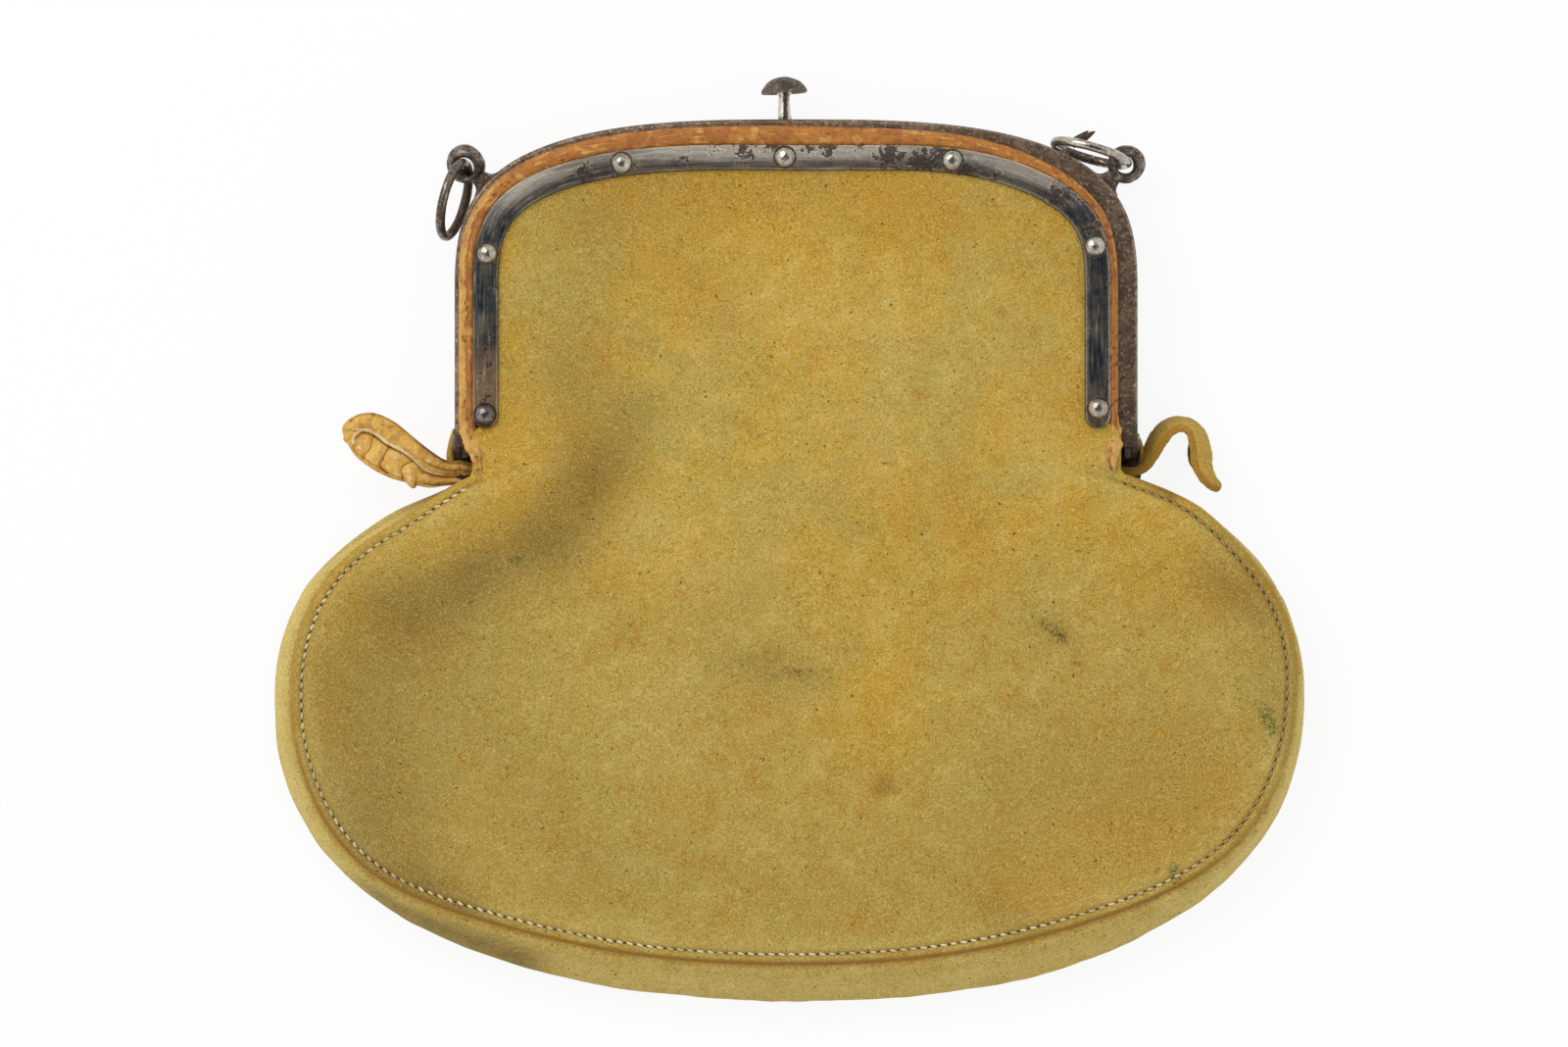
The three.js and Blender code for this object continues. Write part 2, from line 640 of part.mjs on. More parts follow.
// Where a ring stands: it is threaded through the eye, points away from it at an angle
// from the eyelet's own direction, leans out of upright and rests just off the table.
function placeRing(mesh, side, swingDegrees, leanDegrees) {
  const place = eyeletPlace(side);
  const eye = inward(place, -EYE_REACH, EYELET_Z);
  const bearing = place.out.angle() + THREE.MathUtils.degToRad(swingDegrees);
  const lean = THREE.MathUtils.degToRad(leanDegrees);
  const along = v3(Math.cos(bearing), Math.sin(bearing), 0);
  const across = v3(-Math.sin(bearing), Math.cos(bearing), 0);
  const upright = v3(0, 0, Math.cos(lean)).addScaledVector(across, Math.sin(lean));
  const centreZ = RING_RADIUS * Math.cos(lean) + RING_WIRE + LAYER_GAP;
  const dip = Math.asin((centreZ - EYELET_Z) / (RING_RADIUS * Math.cos(lean)));
  mesh.position
    .copy(eye)
    .addScaledVector(along, RING_RADIUS * Math.cos(dip))
    .addScaledVector(upright, RING_RADIUS * Math.sin(dip));
  const normal = new THREE.Vector3().crossVectors(along, upright);
  mesh.quaternion.setFromRotationMatrix(new THREE.Matrix4().makeBasis(along, upright, normal));
}

const ring = () => solidOfGeometry(new THREE.TorusGeometry(RING_RADIUS, RING_WIRE, 8, 28));

// The bag

function edgeOf(halfWidth, drop, foot) {
  const climb = (1 - (BOW_HALF_WIDTH / halfWidth) ** BODY_ROUNDNESS) ** (1 / BODY_ROUNDNESS);
  const top = (-2 * drop - foot * (1 - climb)) / (1 + climb);
  return { halfWidth, halfHeight: (top - foot) / 2, centre: (top + foot) / 2 };
}
const FRONT_EDGE = edgeOf(FRONT_HALF_WIDTH, FRONT_SEAM_DROP, FRONT_FOOT);
const BACK_EDGE = edgeOf(BACK_HALF_WIDTH, BACK_SEAM_DROP, BACK_FOOT);

const insideEdge = (edge, x, y) =>
  Math.abs(x / edge.halfWidth) ** BODY_ROUNDNESS +
    Math.abs((y - edge.centre) / edge.halfHeight) ** BODY_ROUNDNESS <=
  1;

// A point of a panel's rounded edge at an angle about the edge's own middle.
function edgePoint(edge, angle) {
  const [c, s] = [Math.cos(angle), Math.sin(angle)];
  const n = BODY_ROUNDNESS;
  const reach = (Math.abs(c / edge.halfWidth) ** n + Math.abs(s / edge.halfHeight) ** n) ** (-1 / n);
  return v2(reach * c, reach * s + edge.centre);
}

function insideArch(x, y) {
  const halfWidth = BOW_HALF_WIDTH - PANEL_INSET;
  if (y < BOW_LEG) return Math.abs(x) <= halfWidth && y > PANEL_CENTRE;
  const crown = BOW_CROWN - PANEL_INSET;
  return Math.abs(x / halfWidth) ** BOW_ROUNDNESS + ((y - BOW_LEG) / crown) ** BOW_ROUNDNESS <= 1;
}

// The outline of a panel at an angle about its centre: the bag's edge and the arch in one.
function panelRim(edge, angle) {
  const [c, s] = [Math.cos(angle), Math.sin(angle)];
  let [low, high] = [0, 2 * (FRONT_HALF_WIDTH + BACK_HALF_WIDTH)];
  for (let i = 0; i < 50; i++) {
    const middle = (low + high) / 2;
    const [x, y] = [middle * c, PANEL_CENTRE + middle * s];
    if (insideEdge(edge, x, y) || insideArch(x, y)) low = middle;
    else high = middle;
  }
  return v2(low * c, low * s);
}

// A sheet of hide inside a panel outline. under(x, y, share) is the height of its
// underside, and share runs from 0 at the centre to 1 at the rim.
function panel(edge, under) {
  const rim = Array.from({ length: PANEL_SIDES }, (_, i) => panelRim(edge, (2 * Math.PI * i) / PANEL_SIDES));
  const points = [];
  const triangles = [];
  const centres = [];
  const layers = [0, SUEDE];
  for (const lift of layers) {
    for (const share of PANEL_RINGS) {
      for (const p of rim) {
        const [x, y] = [p.x * share, PANEL_CENTRE + p.y * share];
        points.push(v3(x, y, under(x, y, share) + lift));
      }
    }
    centres.push(points.length);
    points.push(v3(0, PANEL_CENTRE, under(0, PANEL_CENTRE, 0) + lift));
  }
  const layerSize = PANEL_RINGS.length * PANEL_SIDES + 1;
  const at = (layer, ringIndex, i) => layer * layerSize + ringIndex * PANEL_SIDES + (i % PANEL_SIDES);
  const add = (flip, a, b, c) => triangles.push(flip ? [a, c, b] : [a, b, c]);
  for (let i = 0; i < PANEL_SIDES; i++) {
    layers.forEach((_, layer) => {
      const flip = layer === 0;
      for (let k = 0; k + 1 < PANEL_RINGS.length; k++) {
        add(flip, at(layer, k, i), at(layer, k, i + 1), at(layer, k + 1, i + 1));
        add(flip, at(layer, k, i), at(layer, k + 1, i + 1), at(layer, k + 1, i));
      }
      const lastRing = PANEL_RINGS.length - 1;
      add(flip, at(layer, lastRing, i), at(layer, lastRing, i + 1), centres[layer]);
    });
    add(false, at(0, 0, i), at(0, 0, i + 1), at(1, 0, i + 1));
    add(false, at(0, 0, i), at(1, 0, i + 1), at(1, 0, i));
  }
  return solidOf(points, triangles);
}

// A soft dent runs from beside the left hinge down towards the left side of the bag.
function dent(x, y) {
  const from = v2(-BOW_HALF_WIDTH * 0.5, 0);
  const to = v2(-FRONT_HALF_WIDTH * 0.76, PANEL_CENTRE);
  const along = to.clone().sub(from);
  const share = THREE.MathUtils.clamp(v2(x, y).sub(from).dot(along) / along.lengthSq(), 0, 1);
  const distance = v2(x, y).distanceTo(from.addScaledVector(along, share));
  return DENT_DEPTH * Math.exp(-((distance / DENT_WIDTH) ** 2));
}

function frontUnder(x, y, share) {
  const fullness = 0.5 + 0.5 * Math.cos(Math.PI * THREE.MathUtils.clamp((share - 0.1) / 0.8, 0, 1));
  const edgeFade = 1 - ease(share, 0.5, 0.9);
  return FRONT_PANEL_Z + PANEL_CROWN * fullness - dent(x, y) * edgeFade * fullness;
}

// The back lies on the table, and rises to the rear band just short of the hinge.
const backUnder = (x, y) => BACK_PANEL_Z * ease(y, BACK_RISE_FOOT, BACK_RISE_TOP);

const frontPanel = () => cut(panel(FRONT_EDGE, frontUnder), rivetHoles(FRONT_PANEL_Z, FRONT_PANEL_Z + SUEDE));
const backPanel = () => cut(panel(BACK_EDGE, backUnder), rivetHoles(BACK_PANEL_Z, BACK_PANEL_Z + SUEDE));

// The angle at which the front edge passes the ends of the gusset, above its middle.
function gussetEndAngle() {
  let [low, high] = [0, Math.PI / 2];
  for (let i = 0; i < 50; i++) {
    const middle = (low + high) / 2;
    if (edgePoint(FRONT_EDGE, middle).x > GUSSET_END_X) low = middle;
    else high = middle;
  }
  return low;
}

// The gusset runs from hinge to hinge round the foot of the bag. Its flanges turn in
// under the two panels, and its wall bulges out between them.
function gusset() {
  const end = gussetEndAngle();
  const wallShares = [0, 0.25, 0.5, 0.75, 1];
  const frames = [];
  for (let i = 0; i <= GUSSET_STEPS; i++) {
    const angle = blend(end, -Math.PI - end, i / GUSSET_STEPS);
    const front = edgePoint(FRONT_EDGE, angle);
    const back = edgePoint(BACK_EDGE, angle);
    const step = 0.01;
    const tangent = edgePoint(FRONT_EDGE, angle + step).sub(edgePoint(FRONT_EDGE, angle - step)).normalize();
    const out = v2(tangent.y, -tangent.x);
    const downward = Math.max(0, -out.y) ** 2;
    frames.push({
      front,
      back,
      out,
      bulge: blend(GUSSET_SIDE_BULGE, GUSSET_FOOT_BULGE, downward),
      frontZ: FRONT_PANEL_Z - FIT,
      backZ: backUnder(back.x, back.y) + SUEDE + FIT,
    });
  }
  // Sections are drawn with x as the way out from the front edge and y as the height.
  const sections = frames.map(({ front, back, out, bulge, frontZ, backZ }) => {
    const backOut = back.clone().sub(front).dot(out);
    const outer = wallShares.map((share) =>
      v2(backOut * share + bulge * Math.sin(Math.PI * share), blend(frontZ, backZ, share)),
    );
    const inner = wallShares.map((share) =>
      v2(
        backOut * share + bulge * Math.sin(Math.PI * share) - GUSSET_SUEDE,
        blend(frontZ - GUSSET_SUEDE, backZ + GUSSET_SUEDE, share),
      ),
    );
    return [
      v2(-GUSSET_FLANGE, frontZ),
      ...outer,
      v2(backOut - GUSSET_FLANGE, backZ),
      v2(backOut - GUSSET_FLANGE, backZ + GUSSET_SUEDE),
      ...inner.reverse(),
      v2(-GUSSET_FLANGE, frontZ - GUSSET_SUEDE),
    ];
  });
  return sweep(sections, (i, p) => {
    const { front, out } = frames[i];
    return v3(front.x + out.x * p.x, front.y + out.y * p.x, p.y);
  });
}

// Pull tabs: ribbons along a curve. Points are set out from the hinge, in shares of the
// tab's reach: `out` from the bow's outer face, `up` from the hinge axis and `rise` from
// where the bows meet.

const LEFT_TAB_ROUTE = [
  { out: -0.15, up: -0.245, rise: -0.205 },
  { out: 0.075, up: -0.185, rise: -0.17 },
  { out: 0.345, up: -0.11, rise: -0.095 },
  { out: 0.62, up: 0.02, rise: -0.02 },
  { out: 0.835, up: 0.12, rise: 0.03 },
  { out: 1, up: 0.195, rise: 0.06 },
];
const RIGHT_TAB_ROUTE = [
  { out: -0.175, up: -0.285, rise: -0.215 },
  { out: 0.065, up: -0.26, rise: -0.2 },
  { out: 0.215, up: -0.095, rise: -0.18 },
  { out: 0.38, up: 0.13, rise: -0.175 },
  { out: 0.565, up: 0.23, rise: -0.175 },
  { out: 0.72, up: 0.08, rise: -0.175 },
  { out: 0.815, up: -0.195, rise: -0.175 },
  { out: 0.905, up: -0.415, rise: -0.175 },
  { out: 1, up: -0.52, rise: -0.175 },
];
const LEFT_TAB = { side: -1, reach: LEFT_TAB_REACH, route: LEFT_TAB_ROUTE, width: v3(0.45, -0.85, -0.28) };
const RIGHT_TAB = { side: 1, reach: RIGHT_TAB_REACH, route: RIGHT_TAB_ROUTE, width: v3(0, 0.2, 1) };
const TAB_STEPS = 18;

// A ribbon along a tab's route, across the tab's width. offset and thickness place it
// along the tab's face, so that a lining can lie on a tab.
function ribbon({ side, reach, route, width: across }, { offset, thickness, margin, start, end }) {
  const curve = new THREE.CatmullRomCurve3(
    route.map(({ out, up, rise }) =>
      v3(side * (BOW_HALF_WIDTH + out * reach), up * reach, MEETING_Z + rise * reach),
    ),
  );
  const frames = [];
  const sections = [];
  for (let i = 0; i <= TAB_STEPS; i++) {
    const share = blend(start, end, i / TAB_STEPS);
    const along = curve.getTangentAt(share);
    const face = new THREE.Vector3().crossVectors(along, across).normalize();
    const width = new THREE.Vector3().crossVectors(face, along).normalize();
    frames.push({ at: curve.getPointAt(share), width, face });
    const full = blend(TAB_ROOT_HALF_WIDTH, TAB_HALF_WIDTH, ease(share, 0.1, 0.7));
    const tip = Math.sqrt(Math.max(0.04, 1 - Math.max(0, (share - 0.82) / 0.18) ** 2));
    const half = Math.max(full * tip - margin, TAB_LINING);
    const low = offset - thickness / 2;
    const round = thickness * 0.3;
    sections.push([
      v2(-half + round, low),
      v2(half - round, low),
      v2(half, low + thickness / 2),
      v2(half - round, low + thickness),
      v2(-half + round, low + thickness),
      v2(-half, low + thickness / 2),
    ]);
  }
  return sweep(sections, (i, p) =>
    frames[i].at.clone().addScaledVector(frames[i].width, p.x).addScaledVector(frames[i].face, p.y),
  );
}

const TAB_BODY = { offset: 0, thickness: TAB_THICKNESS, margin: 0, start: 0, end: 1 };
const TAB_INSIDE = {
  offset: TAB_THICKNESS / 2 + FIT + TAB_LINING / 2,
  thickness: TAB_LINING,
  margin: TAB_LINING_MARGIN,
  start: TAB_LINING_START,
  end: TAB_LINING_END,
};

// Assembly

const pouch = new THREE.Group();
pouch.position.y = -(BUTTON_TOP + BODY_FOOT) / 2;

function add(parent, name, solid, finish) {
  const mesh = new THREE.Mesh(geometryOf(solid), finish);
  mesh.name = name;
  parent.add(mesh);
  return mesh;
}

const frontGrip = FRONT_RIVET_Z - FRONT_INSIDE_Z;
const rearGrip = REAR_INSIDE_Z - RIVET_HEAD_HEIGHT;

const frontFrame = new THREE.Group();
add(frontFrame, "front_bow", frontBow(), STEEL);
add(frontFrame, "front_band", band(FRONT_BAND_Z), BLUED_STEEL);
add(frontFrame, "front_piping", piping(FRONT_PANEL_Z, 1), PIPING_HIDE);
add(frontFrame, "catch_fork", catchFork(), BRIGHT_STEEL);

const rearFrame = new THREE.Group();
add(rearFrame, "rear_bow", rearBow(), STEEL);
const rearBand = add(rearFrame, "rear_band", band(0), BLUED_STEEL);
rearBand.scale.z = -1;
rearBand.position.z = REAR_BAND_Z + BAND_SHEET;
add(rearFrame, "rear_piping", piping(REAR_BOW_Z - LAYER_GAP, -1), PIPING_HIDE);
add(rearFrame, "stem_guide", stemGuide(), BRIGHT_STEEL);

for (const { name, at, holdsCatch } of RIVETS) {
  const catchPlate = holdsCatch ? CATCH_SHEET + LAYER_GAP : 0;
  const front = add(frontFrame, `front_rivet_${name}`, rivet(frontGrip + catchPlate), BRIGHT_STEEL);
  front.position.set(at.x, at.y, FRONT_RIVET_Z);
  front.rotation.x = Math.PI / 2;
  const rear = add(rearFrame, `rear_rivet_${name}`, rivet(rearGrip + catchPlate), BRIGHT_STEEL);
  rear.position.set(at.x, at.y, RIVET_HEAD_HEIGHT);
  rear.rotation.x = -Math.PI / 2;
}

for (const side of SIDES) {
  const word = side < 0 ? "left" : "right";
  const pin = add(rearFrame, `${word}_hinge_pin`, hingePin(), BRIGHT_STEEL);
  pin.position.z = MEETING_Z;
  pin.rotation.z = (-side * Math.PI) / 2;
  const place = eyeletPlace(side);
  const eye = add(rearFrame, `${word}_eyelet`, eyelet(), STEEL);
  eye.position.set(place.x, place.y, EYELET_Z);
  eye.rotation.z = Math.atan2(place.out.y, place.out.x) - Math.PI / 2;
}

const rings = new THREE.Group();
placeRing(add(rings, "left_ring", ring(), STEEL), -1, LEFT_RING_SWING, LEFT_RING_LEAN);
placeRing(add(rings, "right_ring", ring(), BRIGHT_STEEL), 1, RIGHT_RING_SWING, RIGHT_RING_LEAN);

const button = new THREE.Group();
button.position.set(BUTTON_SHIFT, 0, BUTTON_Z);
add(button, "button_cap", buttonCap(), STEEL);
add(button, "button_stem", buttonStem(), BRIGHT_STEEL);
add(button, "button_spring", buttonSpring(), BRIGHT_STEEL);

const bag = new THREE.Group();
add(bag, "front_panel", frontPanel(), SUEDE_HIDE);
add(bag, "back_panel", backPanel(), SUEDE_HIDE);
add(bag, "gusset", gusset(), SUEDE_HIDE);
add(bag, "left_tab", ribbon(LEFT_TAB, TAB_BODY), TAB_HIDE);
add(bag, "left_tab_lining", ribbon(LEFT_TAB, TAB_INSIDE), TAB_HIDE);
add(bag, "right_tab", ribbon(RIGHT_TAB, TAB_BODY), SUEDE_HIDE);
add(bag, "right_tab_lining", ribbon(RIGHT_TAB, TAB_INSIDE), TAB_HIDE);

pouch.add(frontFrame, rearFrame, rings, button, bag);

export default pouch;
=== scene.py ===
"""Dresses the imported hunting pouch: a suede bag on a hinged steel frame.

Sizes are millimetres about the hinge axis (y = 0) and the table (z = 0), as in the part's
source. They become metres in the shared frame when a mesh is made.
"""

import json
import logging
import math
from dataclasses import dataclass, field
from enum import Enum
from typing import Any, Sequence

import bpy
import numpy as np
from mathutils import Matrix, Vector, noise

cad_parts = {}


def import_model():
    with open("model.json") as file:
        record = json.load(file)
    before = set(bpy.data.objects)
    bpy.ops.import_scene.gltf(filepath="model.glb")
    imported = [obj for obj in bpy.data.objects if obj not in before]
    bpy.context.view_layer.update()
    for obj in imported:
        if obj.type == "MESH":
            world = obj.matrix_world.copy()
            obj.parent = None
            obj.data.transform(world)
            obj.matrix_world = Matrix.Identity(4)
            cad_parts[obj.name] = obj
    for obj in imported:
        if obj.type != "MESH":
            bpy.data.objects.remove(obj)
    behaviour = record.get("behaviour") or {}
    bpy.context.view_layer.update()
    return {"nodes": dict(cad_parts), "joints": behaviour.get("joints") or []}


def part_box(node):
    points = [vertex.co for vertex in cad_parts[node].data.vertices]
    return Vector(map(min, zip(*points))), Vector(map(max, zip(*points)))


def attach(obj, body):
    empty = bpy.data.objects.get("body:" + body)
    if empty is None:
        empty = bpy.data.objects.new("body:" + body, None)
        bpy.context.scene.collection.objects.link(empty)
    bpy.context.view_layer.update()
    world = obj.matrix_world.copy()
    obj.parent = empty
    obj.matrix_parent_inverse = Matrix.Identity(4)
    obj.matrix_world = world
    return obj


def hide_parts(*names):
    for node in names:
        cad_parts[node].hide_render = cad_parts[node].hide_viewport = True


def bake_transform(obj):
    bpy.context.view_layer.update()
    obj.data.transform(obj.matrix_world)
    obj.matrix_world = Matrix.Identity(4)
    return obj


LOG = logging.getLogger("pouch")
MM = 0.001
SMALL_TURN = 0.004
Array = np.ndarray
Socket = bpy.types.NodeSocket
Colour = tuple[float, float, float]
Point = tuple[float, float, float]
LeftToRight = tuple[float, float, float]
Ride = str | tuple[str, str, float, float]
Profile = tuple[tuple[float, float], ...]
Rows = tuple[tuple[float, ...], ...]


class Side(Enum):
    """The left and right of the pouch, as its front is looked at."""

    LEFT = -1
    RIGHT = 1

    @property
    def word(self) -> str:
        """The side's name, as the solids' names begin."""
        return self.name.lower()


class Half(Enum):
    """The half of the hinged frame that a piece belongs to, by the way its face looks."""

    FRONT = 1
    REAR = -1


class Place(Enum):
    """Where a finish takes its coordinates from."""

    REST = "the places kept with a made mesh"
    SOLID = "the mesh of a solid that is kept"


# Shader maths


class Value:
    """A number that varies over a surface: a socket whose arithmetic adds Math nodes."""

    def __init__(self, recipe: "Recipe", socket: Socket) -> None:
        """Wraps one output socket of a recipe's node."""
        self.recipe = recipe
        self.socket = socket

    def _math(self, operation: str, first: Any, second: Any) -> "Value":
        """Adds one Math node on two numbers or values."""
        return self.recipe.value("ShaderNodeMath", {"operation": operation}, {0: first, 1: second})

    def __add__(self, other: Any) -> "Value":
        """This value plus another."""
        return self._math("ADD", self, other)

    def __sub__(self, other: Any) -> "Value":
        """This value less another."""
        return self._math("SUBTRACT", self, other)

    def __rsub__(self, other: Any) -> "Value":
        """A number less this value."""
        return self._math("SUBTRACT", other, self)

    def __mul__(self, other: Any) -> "Value":
        """This value times another."""
        return self._math("MULTIPLY", self, other)

    __radd__ = __add__
    __rmul__ = __mul__

    def most(self, other: Any) -> "Value":
        """The larger of this value and another."""
        return self._math("MAXIMUM", self, other)

    def step(self, low: float, high: float) -> "Value":
        """Rises smoothly from 0 at low to 1 at high, or falls where low is the larger."""
        ends = {"Value": self, "From Min": low, "From Max": high}
        return self.recipe.value("ShaderNodeMapRange", {"interpolation_type": "SMOOTHSTEP"}, ends)


class Recipe:
    """The node tree of one material, or of the world."""

    def __init__(self, tree: bpy.types.NodeTree, place: Place = Place.REST) -> None:
        """Empties a node tree, to be filled.

        Args:
            tree: the node tree.
            place: where it takes its coordinates from.
        """
        self.tree = tree
        self.place = place
        tree.nodes.clear()

    def node(
        self, kind: str, settings: dict[str, Any] | None = None, sockets: dict[Any, Any] | None = None
    ) -> bpy.types.Node:
        """Adds a node.

        Args:
            kind: the node's type name.
            settings: its properties, which are set first.
            sockets: numbers, colours, sockets or values for its inputs, by name or index.

        Returns:
            The new node.
        """
        made = self.tree.nodes.new(kind)
        for name, value in (settings or {}).items():
            setattr(made, name, value)
        for key, value in (sockets or {}).items():
            target = made.inputs[key]
            source = value.socket if isinstance(value, Value) else value
            if isinstance(source, Socket):
                self.tree.links.new(source, target)
            elif target.type == "RGBA" and len(source) == 3:
                target.default_value = (*source, 1.0)
            else:
                target.default_value = source
        return made

    def value(self, kind: str, settings: dict[str, Any], sockets: dict[Any, Any]) -> Value:
        """Adds a node, and gives its first output as a value."""
        return Value(self, self.node(kind, settings, sockets).outputs[0])

    def tag(self, name: str) -> Value:
        """The value that a made mesh keeps at each of its points under this name."""
        return Value(self, self.node("ShaderNodeAttribute", {"attribute_name": name}).outputs["Fac"])

    def where(self) -> Socket:
        """The place on the piece at rest, in millimetres."""
        if self.place is Place.REST:
            return self.node("ShaderNodeAttribute", {"attribute_name": "rest"}).outputs["Vector"]
        bare = self.node("ShaderNodeTexCoord").outputs["Object"]
        scaled = self.node("ShaderNodeVectorMath", {"operation": "SCALE"}, {0: bare, "Scale": 1 / MM})
        return scaled.outputs["Vector"]

    def mottle(self, at: Socket, size: float, detail: float = 2.0, rough: float = 0.6) -> Value:
        """Cloudy noise from 0 to 1, by the size of its patches in millimetres and its finer layers."""
        sockets = {"Vector": at, "Scale": 1 / size, "Detail": detail, "Roughness": rough}
        return self.value("ShaderNodeTexNoise", {"noise_dimensions": "3D"}, sockets)

    def strokes(self, along: float, across: float) -> Value:
        """Noise drawn out along a piece, by how fast it changes along it and across it."""
        lay = {0: self.tag("along") * along, 1: self.tag("across") * across}
        return self.mottle(self.node("ShaderNodeCombineXYZ", None, lay).outputs[0], 1.0, 5.0)

    def mix(self, share: Any, base: Any, over: Any, blend: str = "MIX") -> Socket:
        """Lays a colour, or a value that is read as a grey, over another colour by a share."""
        settings = {"data_type": "RGBA", "blend_type": blend}
        return self.node("ShaderNodeMix", settings, {0: share, 6: base, 7: over}).outputs[2]

    def layered(self, colour: Any, *layers: tuple[Any, Any]) -> Socket:
        """Lays colours over a first one in turn.

        Args:
            colour: the first colour.
            layers: pairs of a share and the colour that it lets through.

        Returns:
            The colour on top.
        """
        for share, over in layers:
            colour = self.mix(share, colour, over)
        return colour

    def bump(self, height: Value, distance: float) -> Socket:
        """A normal that a height from 0 to 1 roughens by a distance in millimetres."""
        sockets = {"Strength": 1.0, "Distance": distance * MM, "Height": height}
        return self.node("ShaderNodeBump", None, sockets).outputs["Normal"]

    def principled(self, sockets: dict[str, Any]) -> bpy.types.Node:
        """Adds the shader that every finish ends in."""
        return self.node("ShaderNodeBsdfPrincipled", None, sockets)

    def finish(self, shader: bpy.types.Node) -> None:
        """Sends a shader to the material's output."""
        self.node("ShaderNodeOutputMaterial", None, {"Surface": shader.outputs[0]})


def new_recipe(name: str, place: Place) -> tuple[bpy.types.Material, Recipe]:
    """Makes an empty material and the recipe that fills it.

    Args:
        name: the material's name.
        place: where the material takes its coordinates from.

    Returns:
        The material and its recipe.
    """
    material = bpy.data.materials.new(name)
    material.use_nodes = True
    return material, Recipe(material.node_tree, place)


# Finishes


@dataclass(frozen=True, kw_only=True)
class Finish:
    """What a surface is made of. Each kind of finish adds its own nodes."""

    name: str
    place: Place = Place.REST

    def shader(self, r: Recipe, at: Socket) -> bpy.types.Node:
        """Adds the finish's own nodes.

        Args:
            r: the material's recipe.
            at: the place on the piece.

        Returns:
            The shader that the material ends in.
        """
        raise NotImplementedError

    def make(self) -> bpy.types.Material:
        """Builds the material."""
        material, r = new_recipe(self.name, self.place)
        r.finish(self.shader(r, r.where()))
        return material


@dataclass(frozen=True, kw_only=True)
class SuedeFinish(Finish):
    """Mustard suede: a fine nap, dark flecks, the stains and dirt of long use, and painted shade and
    highlights.
    """

    name: str = "mustard_suede"
    golden: Colour = (0.49, 0.285, 0.034)
    olive: Colour = (0.43, 0.308, 0.064)
    dusty: Colour = (0.402, 0.284, 0.062)
    pale: Colour = (0.6, 0.46, 0.15)
    fuzz: Colour = (0.66, 0.52, 0.2)
    dirt: Colour = (0.125, 0.07, 0.014)
    amber: Colour = (0.41, 0.2, 0.017)
    green: Colour = (0.062, 0.098, 0.018)
    cut_edge: Colour = (0.3, 0.145, 0.024)
    fleck: Colour = (0.085, 0.047, 0.012)
    soot: Colour = (0.055, 0.033, 0.009)
    sheen: Colour = (0.9, 0.8, 0.5)

    def stained(self, r: Recipe, colour: Socket, patch: Value, nap: Value, specks: Value) -> Socket:
        """Lays the amber and pale patches, the dirt, the painted shade and highlights, and the dark and green
        specks over a colour.

        Args:
            r: the material's recipe.
            colour: the clean suede's colour.
            patch: cloudy noise that breaks the stains up.
            nap: fine noise that catches the dirt and painted shade.
            specks: noise that breaks a smudge into grains.

        Returns:
            The stained colour's socket.
        """
        # The amber, pale and dirt tags carry stains, pale patches and dirt, and also painted light: a
        # highlight on a fold's lit face, the lit gusset, and shade in folds, the seam's groove and the hinge
        # corners.
        uneven = patch * 1.1 + nap * 0.5
        grains = specks.step(0.42, 0.58)
        return r.layered(
            colour,
            (r.tag("amber") * (uneven - 0.15), self.amber),
            (r.tag("pale") * (uneven + 0.15), self.pale),
            (r.tag("dirt") * (uneven + nap * 0.6 - 0.22) * 0.8, self.dirt),
            (r.tag("green").step(0.15, 0.8) * (0.2 + grains * 0.75), self.green),
            (r.tag("soot").step(0.15, 0.8) * (0.2 + grains * 0.8), self.soot),
        )

    def shader(self, r: Recipe, at: Socket) -> bpy.types.Node:
        """Suede from broad clouds of colour down to single hairs."""
        cloud = r.mottle(at, 30.0, 5.0)
        patch = r.mottle(at, 7.0, 5.0)
        blot = r.mottle(at, 3.0, 4.0)
        clump = r.mottle(at, 1.3, 3.0)
        nap = r.mottle(at, 0.46)
        flecks = r.mottle(at, 1.25)
        specks = r.mottle(at, 0.9)
        hairs = r.mottle(at, 0.62)
        clean = r.layered(
            self.olive,
            ((cloud * 0.7 + patch * 0.3).step(0.41, 0.59), self.golden),
            (r.tag("dust") * (0.3 + cloud * 0.8), self.dusty),
            (patch.step(0.51, 0.68) * 0.3, self.pale),
            (blot.step(0.53, 0.7) * 0.2, self.pale),
            ((patch * 0.65 + blot * 0.35).step(0.49, 0.35) * 0.54, self.amber),
        )
        colour = r.layered(
            self.stained(r, clean, patch, nap, specks),
            (nap * 1.4 - 0.66, self.fuzz),
            (flecks.step(0.685, 0.735) * 0.85, self.fleck),
            (hairs.step(0.61, 0.72) * 0.7, self.fleck),
            (r.tag("cut") * 0.92, self.cut_edge),
        )
        shade = (nap * 0.95 + clump * 0.42 + 0.35).most(0.15)
        sockets = {
            "Base Color": r.mix(1.0, colour, shade, "MULTIPLY"),
            "Roughness": 0.95,
            "Specular IOR Level": 0.1,
            "Sheen Weight": 0.1,
            "Sheen Roughness": 0.45,
            "Sheen Tint": self.sheen,
            "Normal": r.bump(nap * 0.6 + clump * 0.4, 0.15),
        }
        return r.principled(sockets)


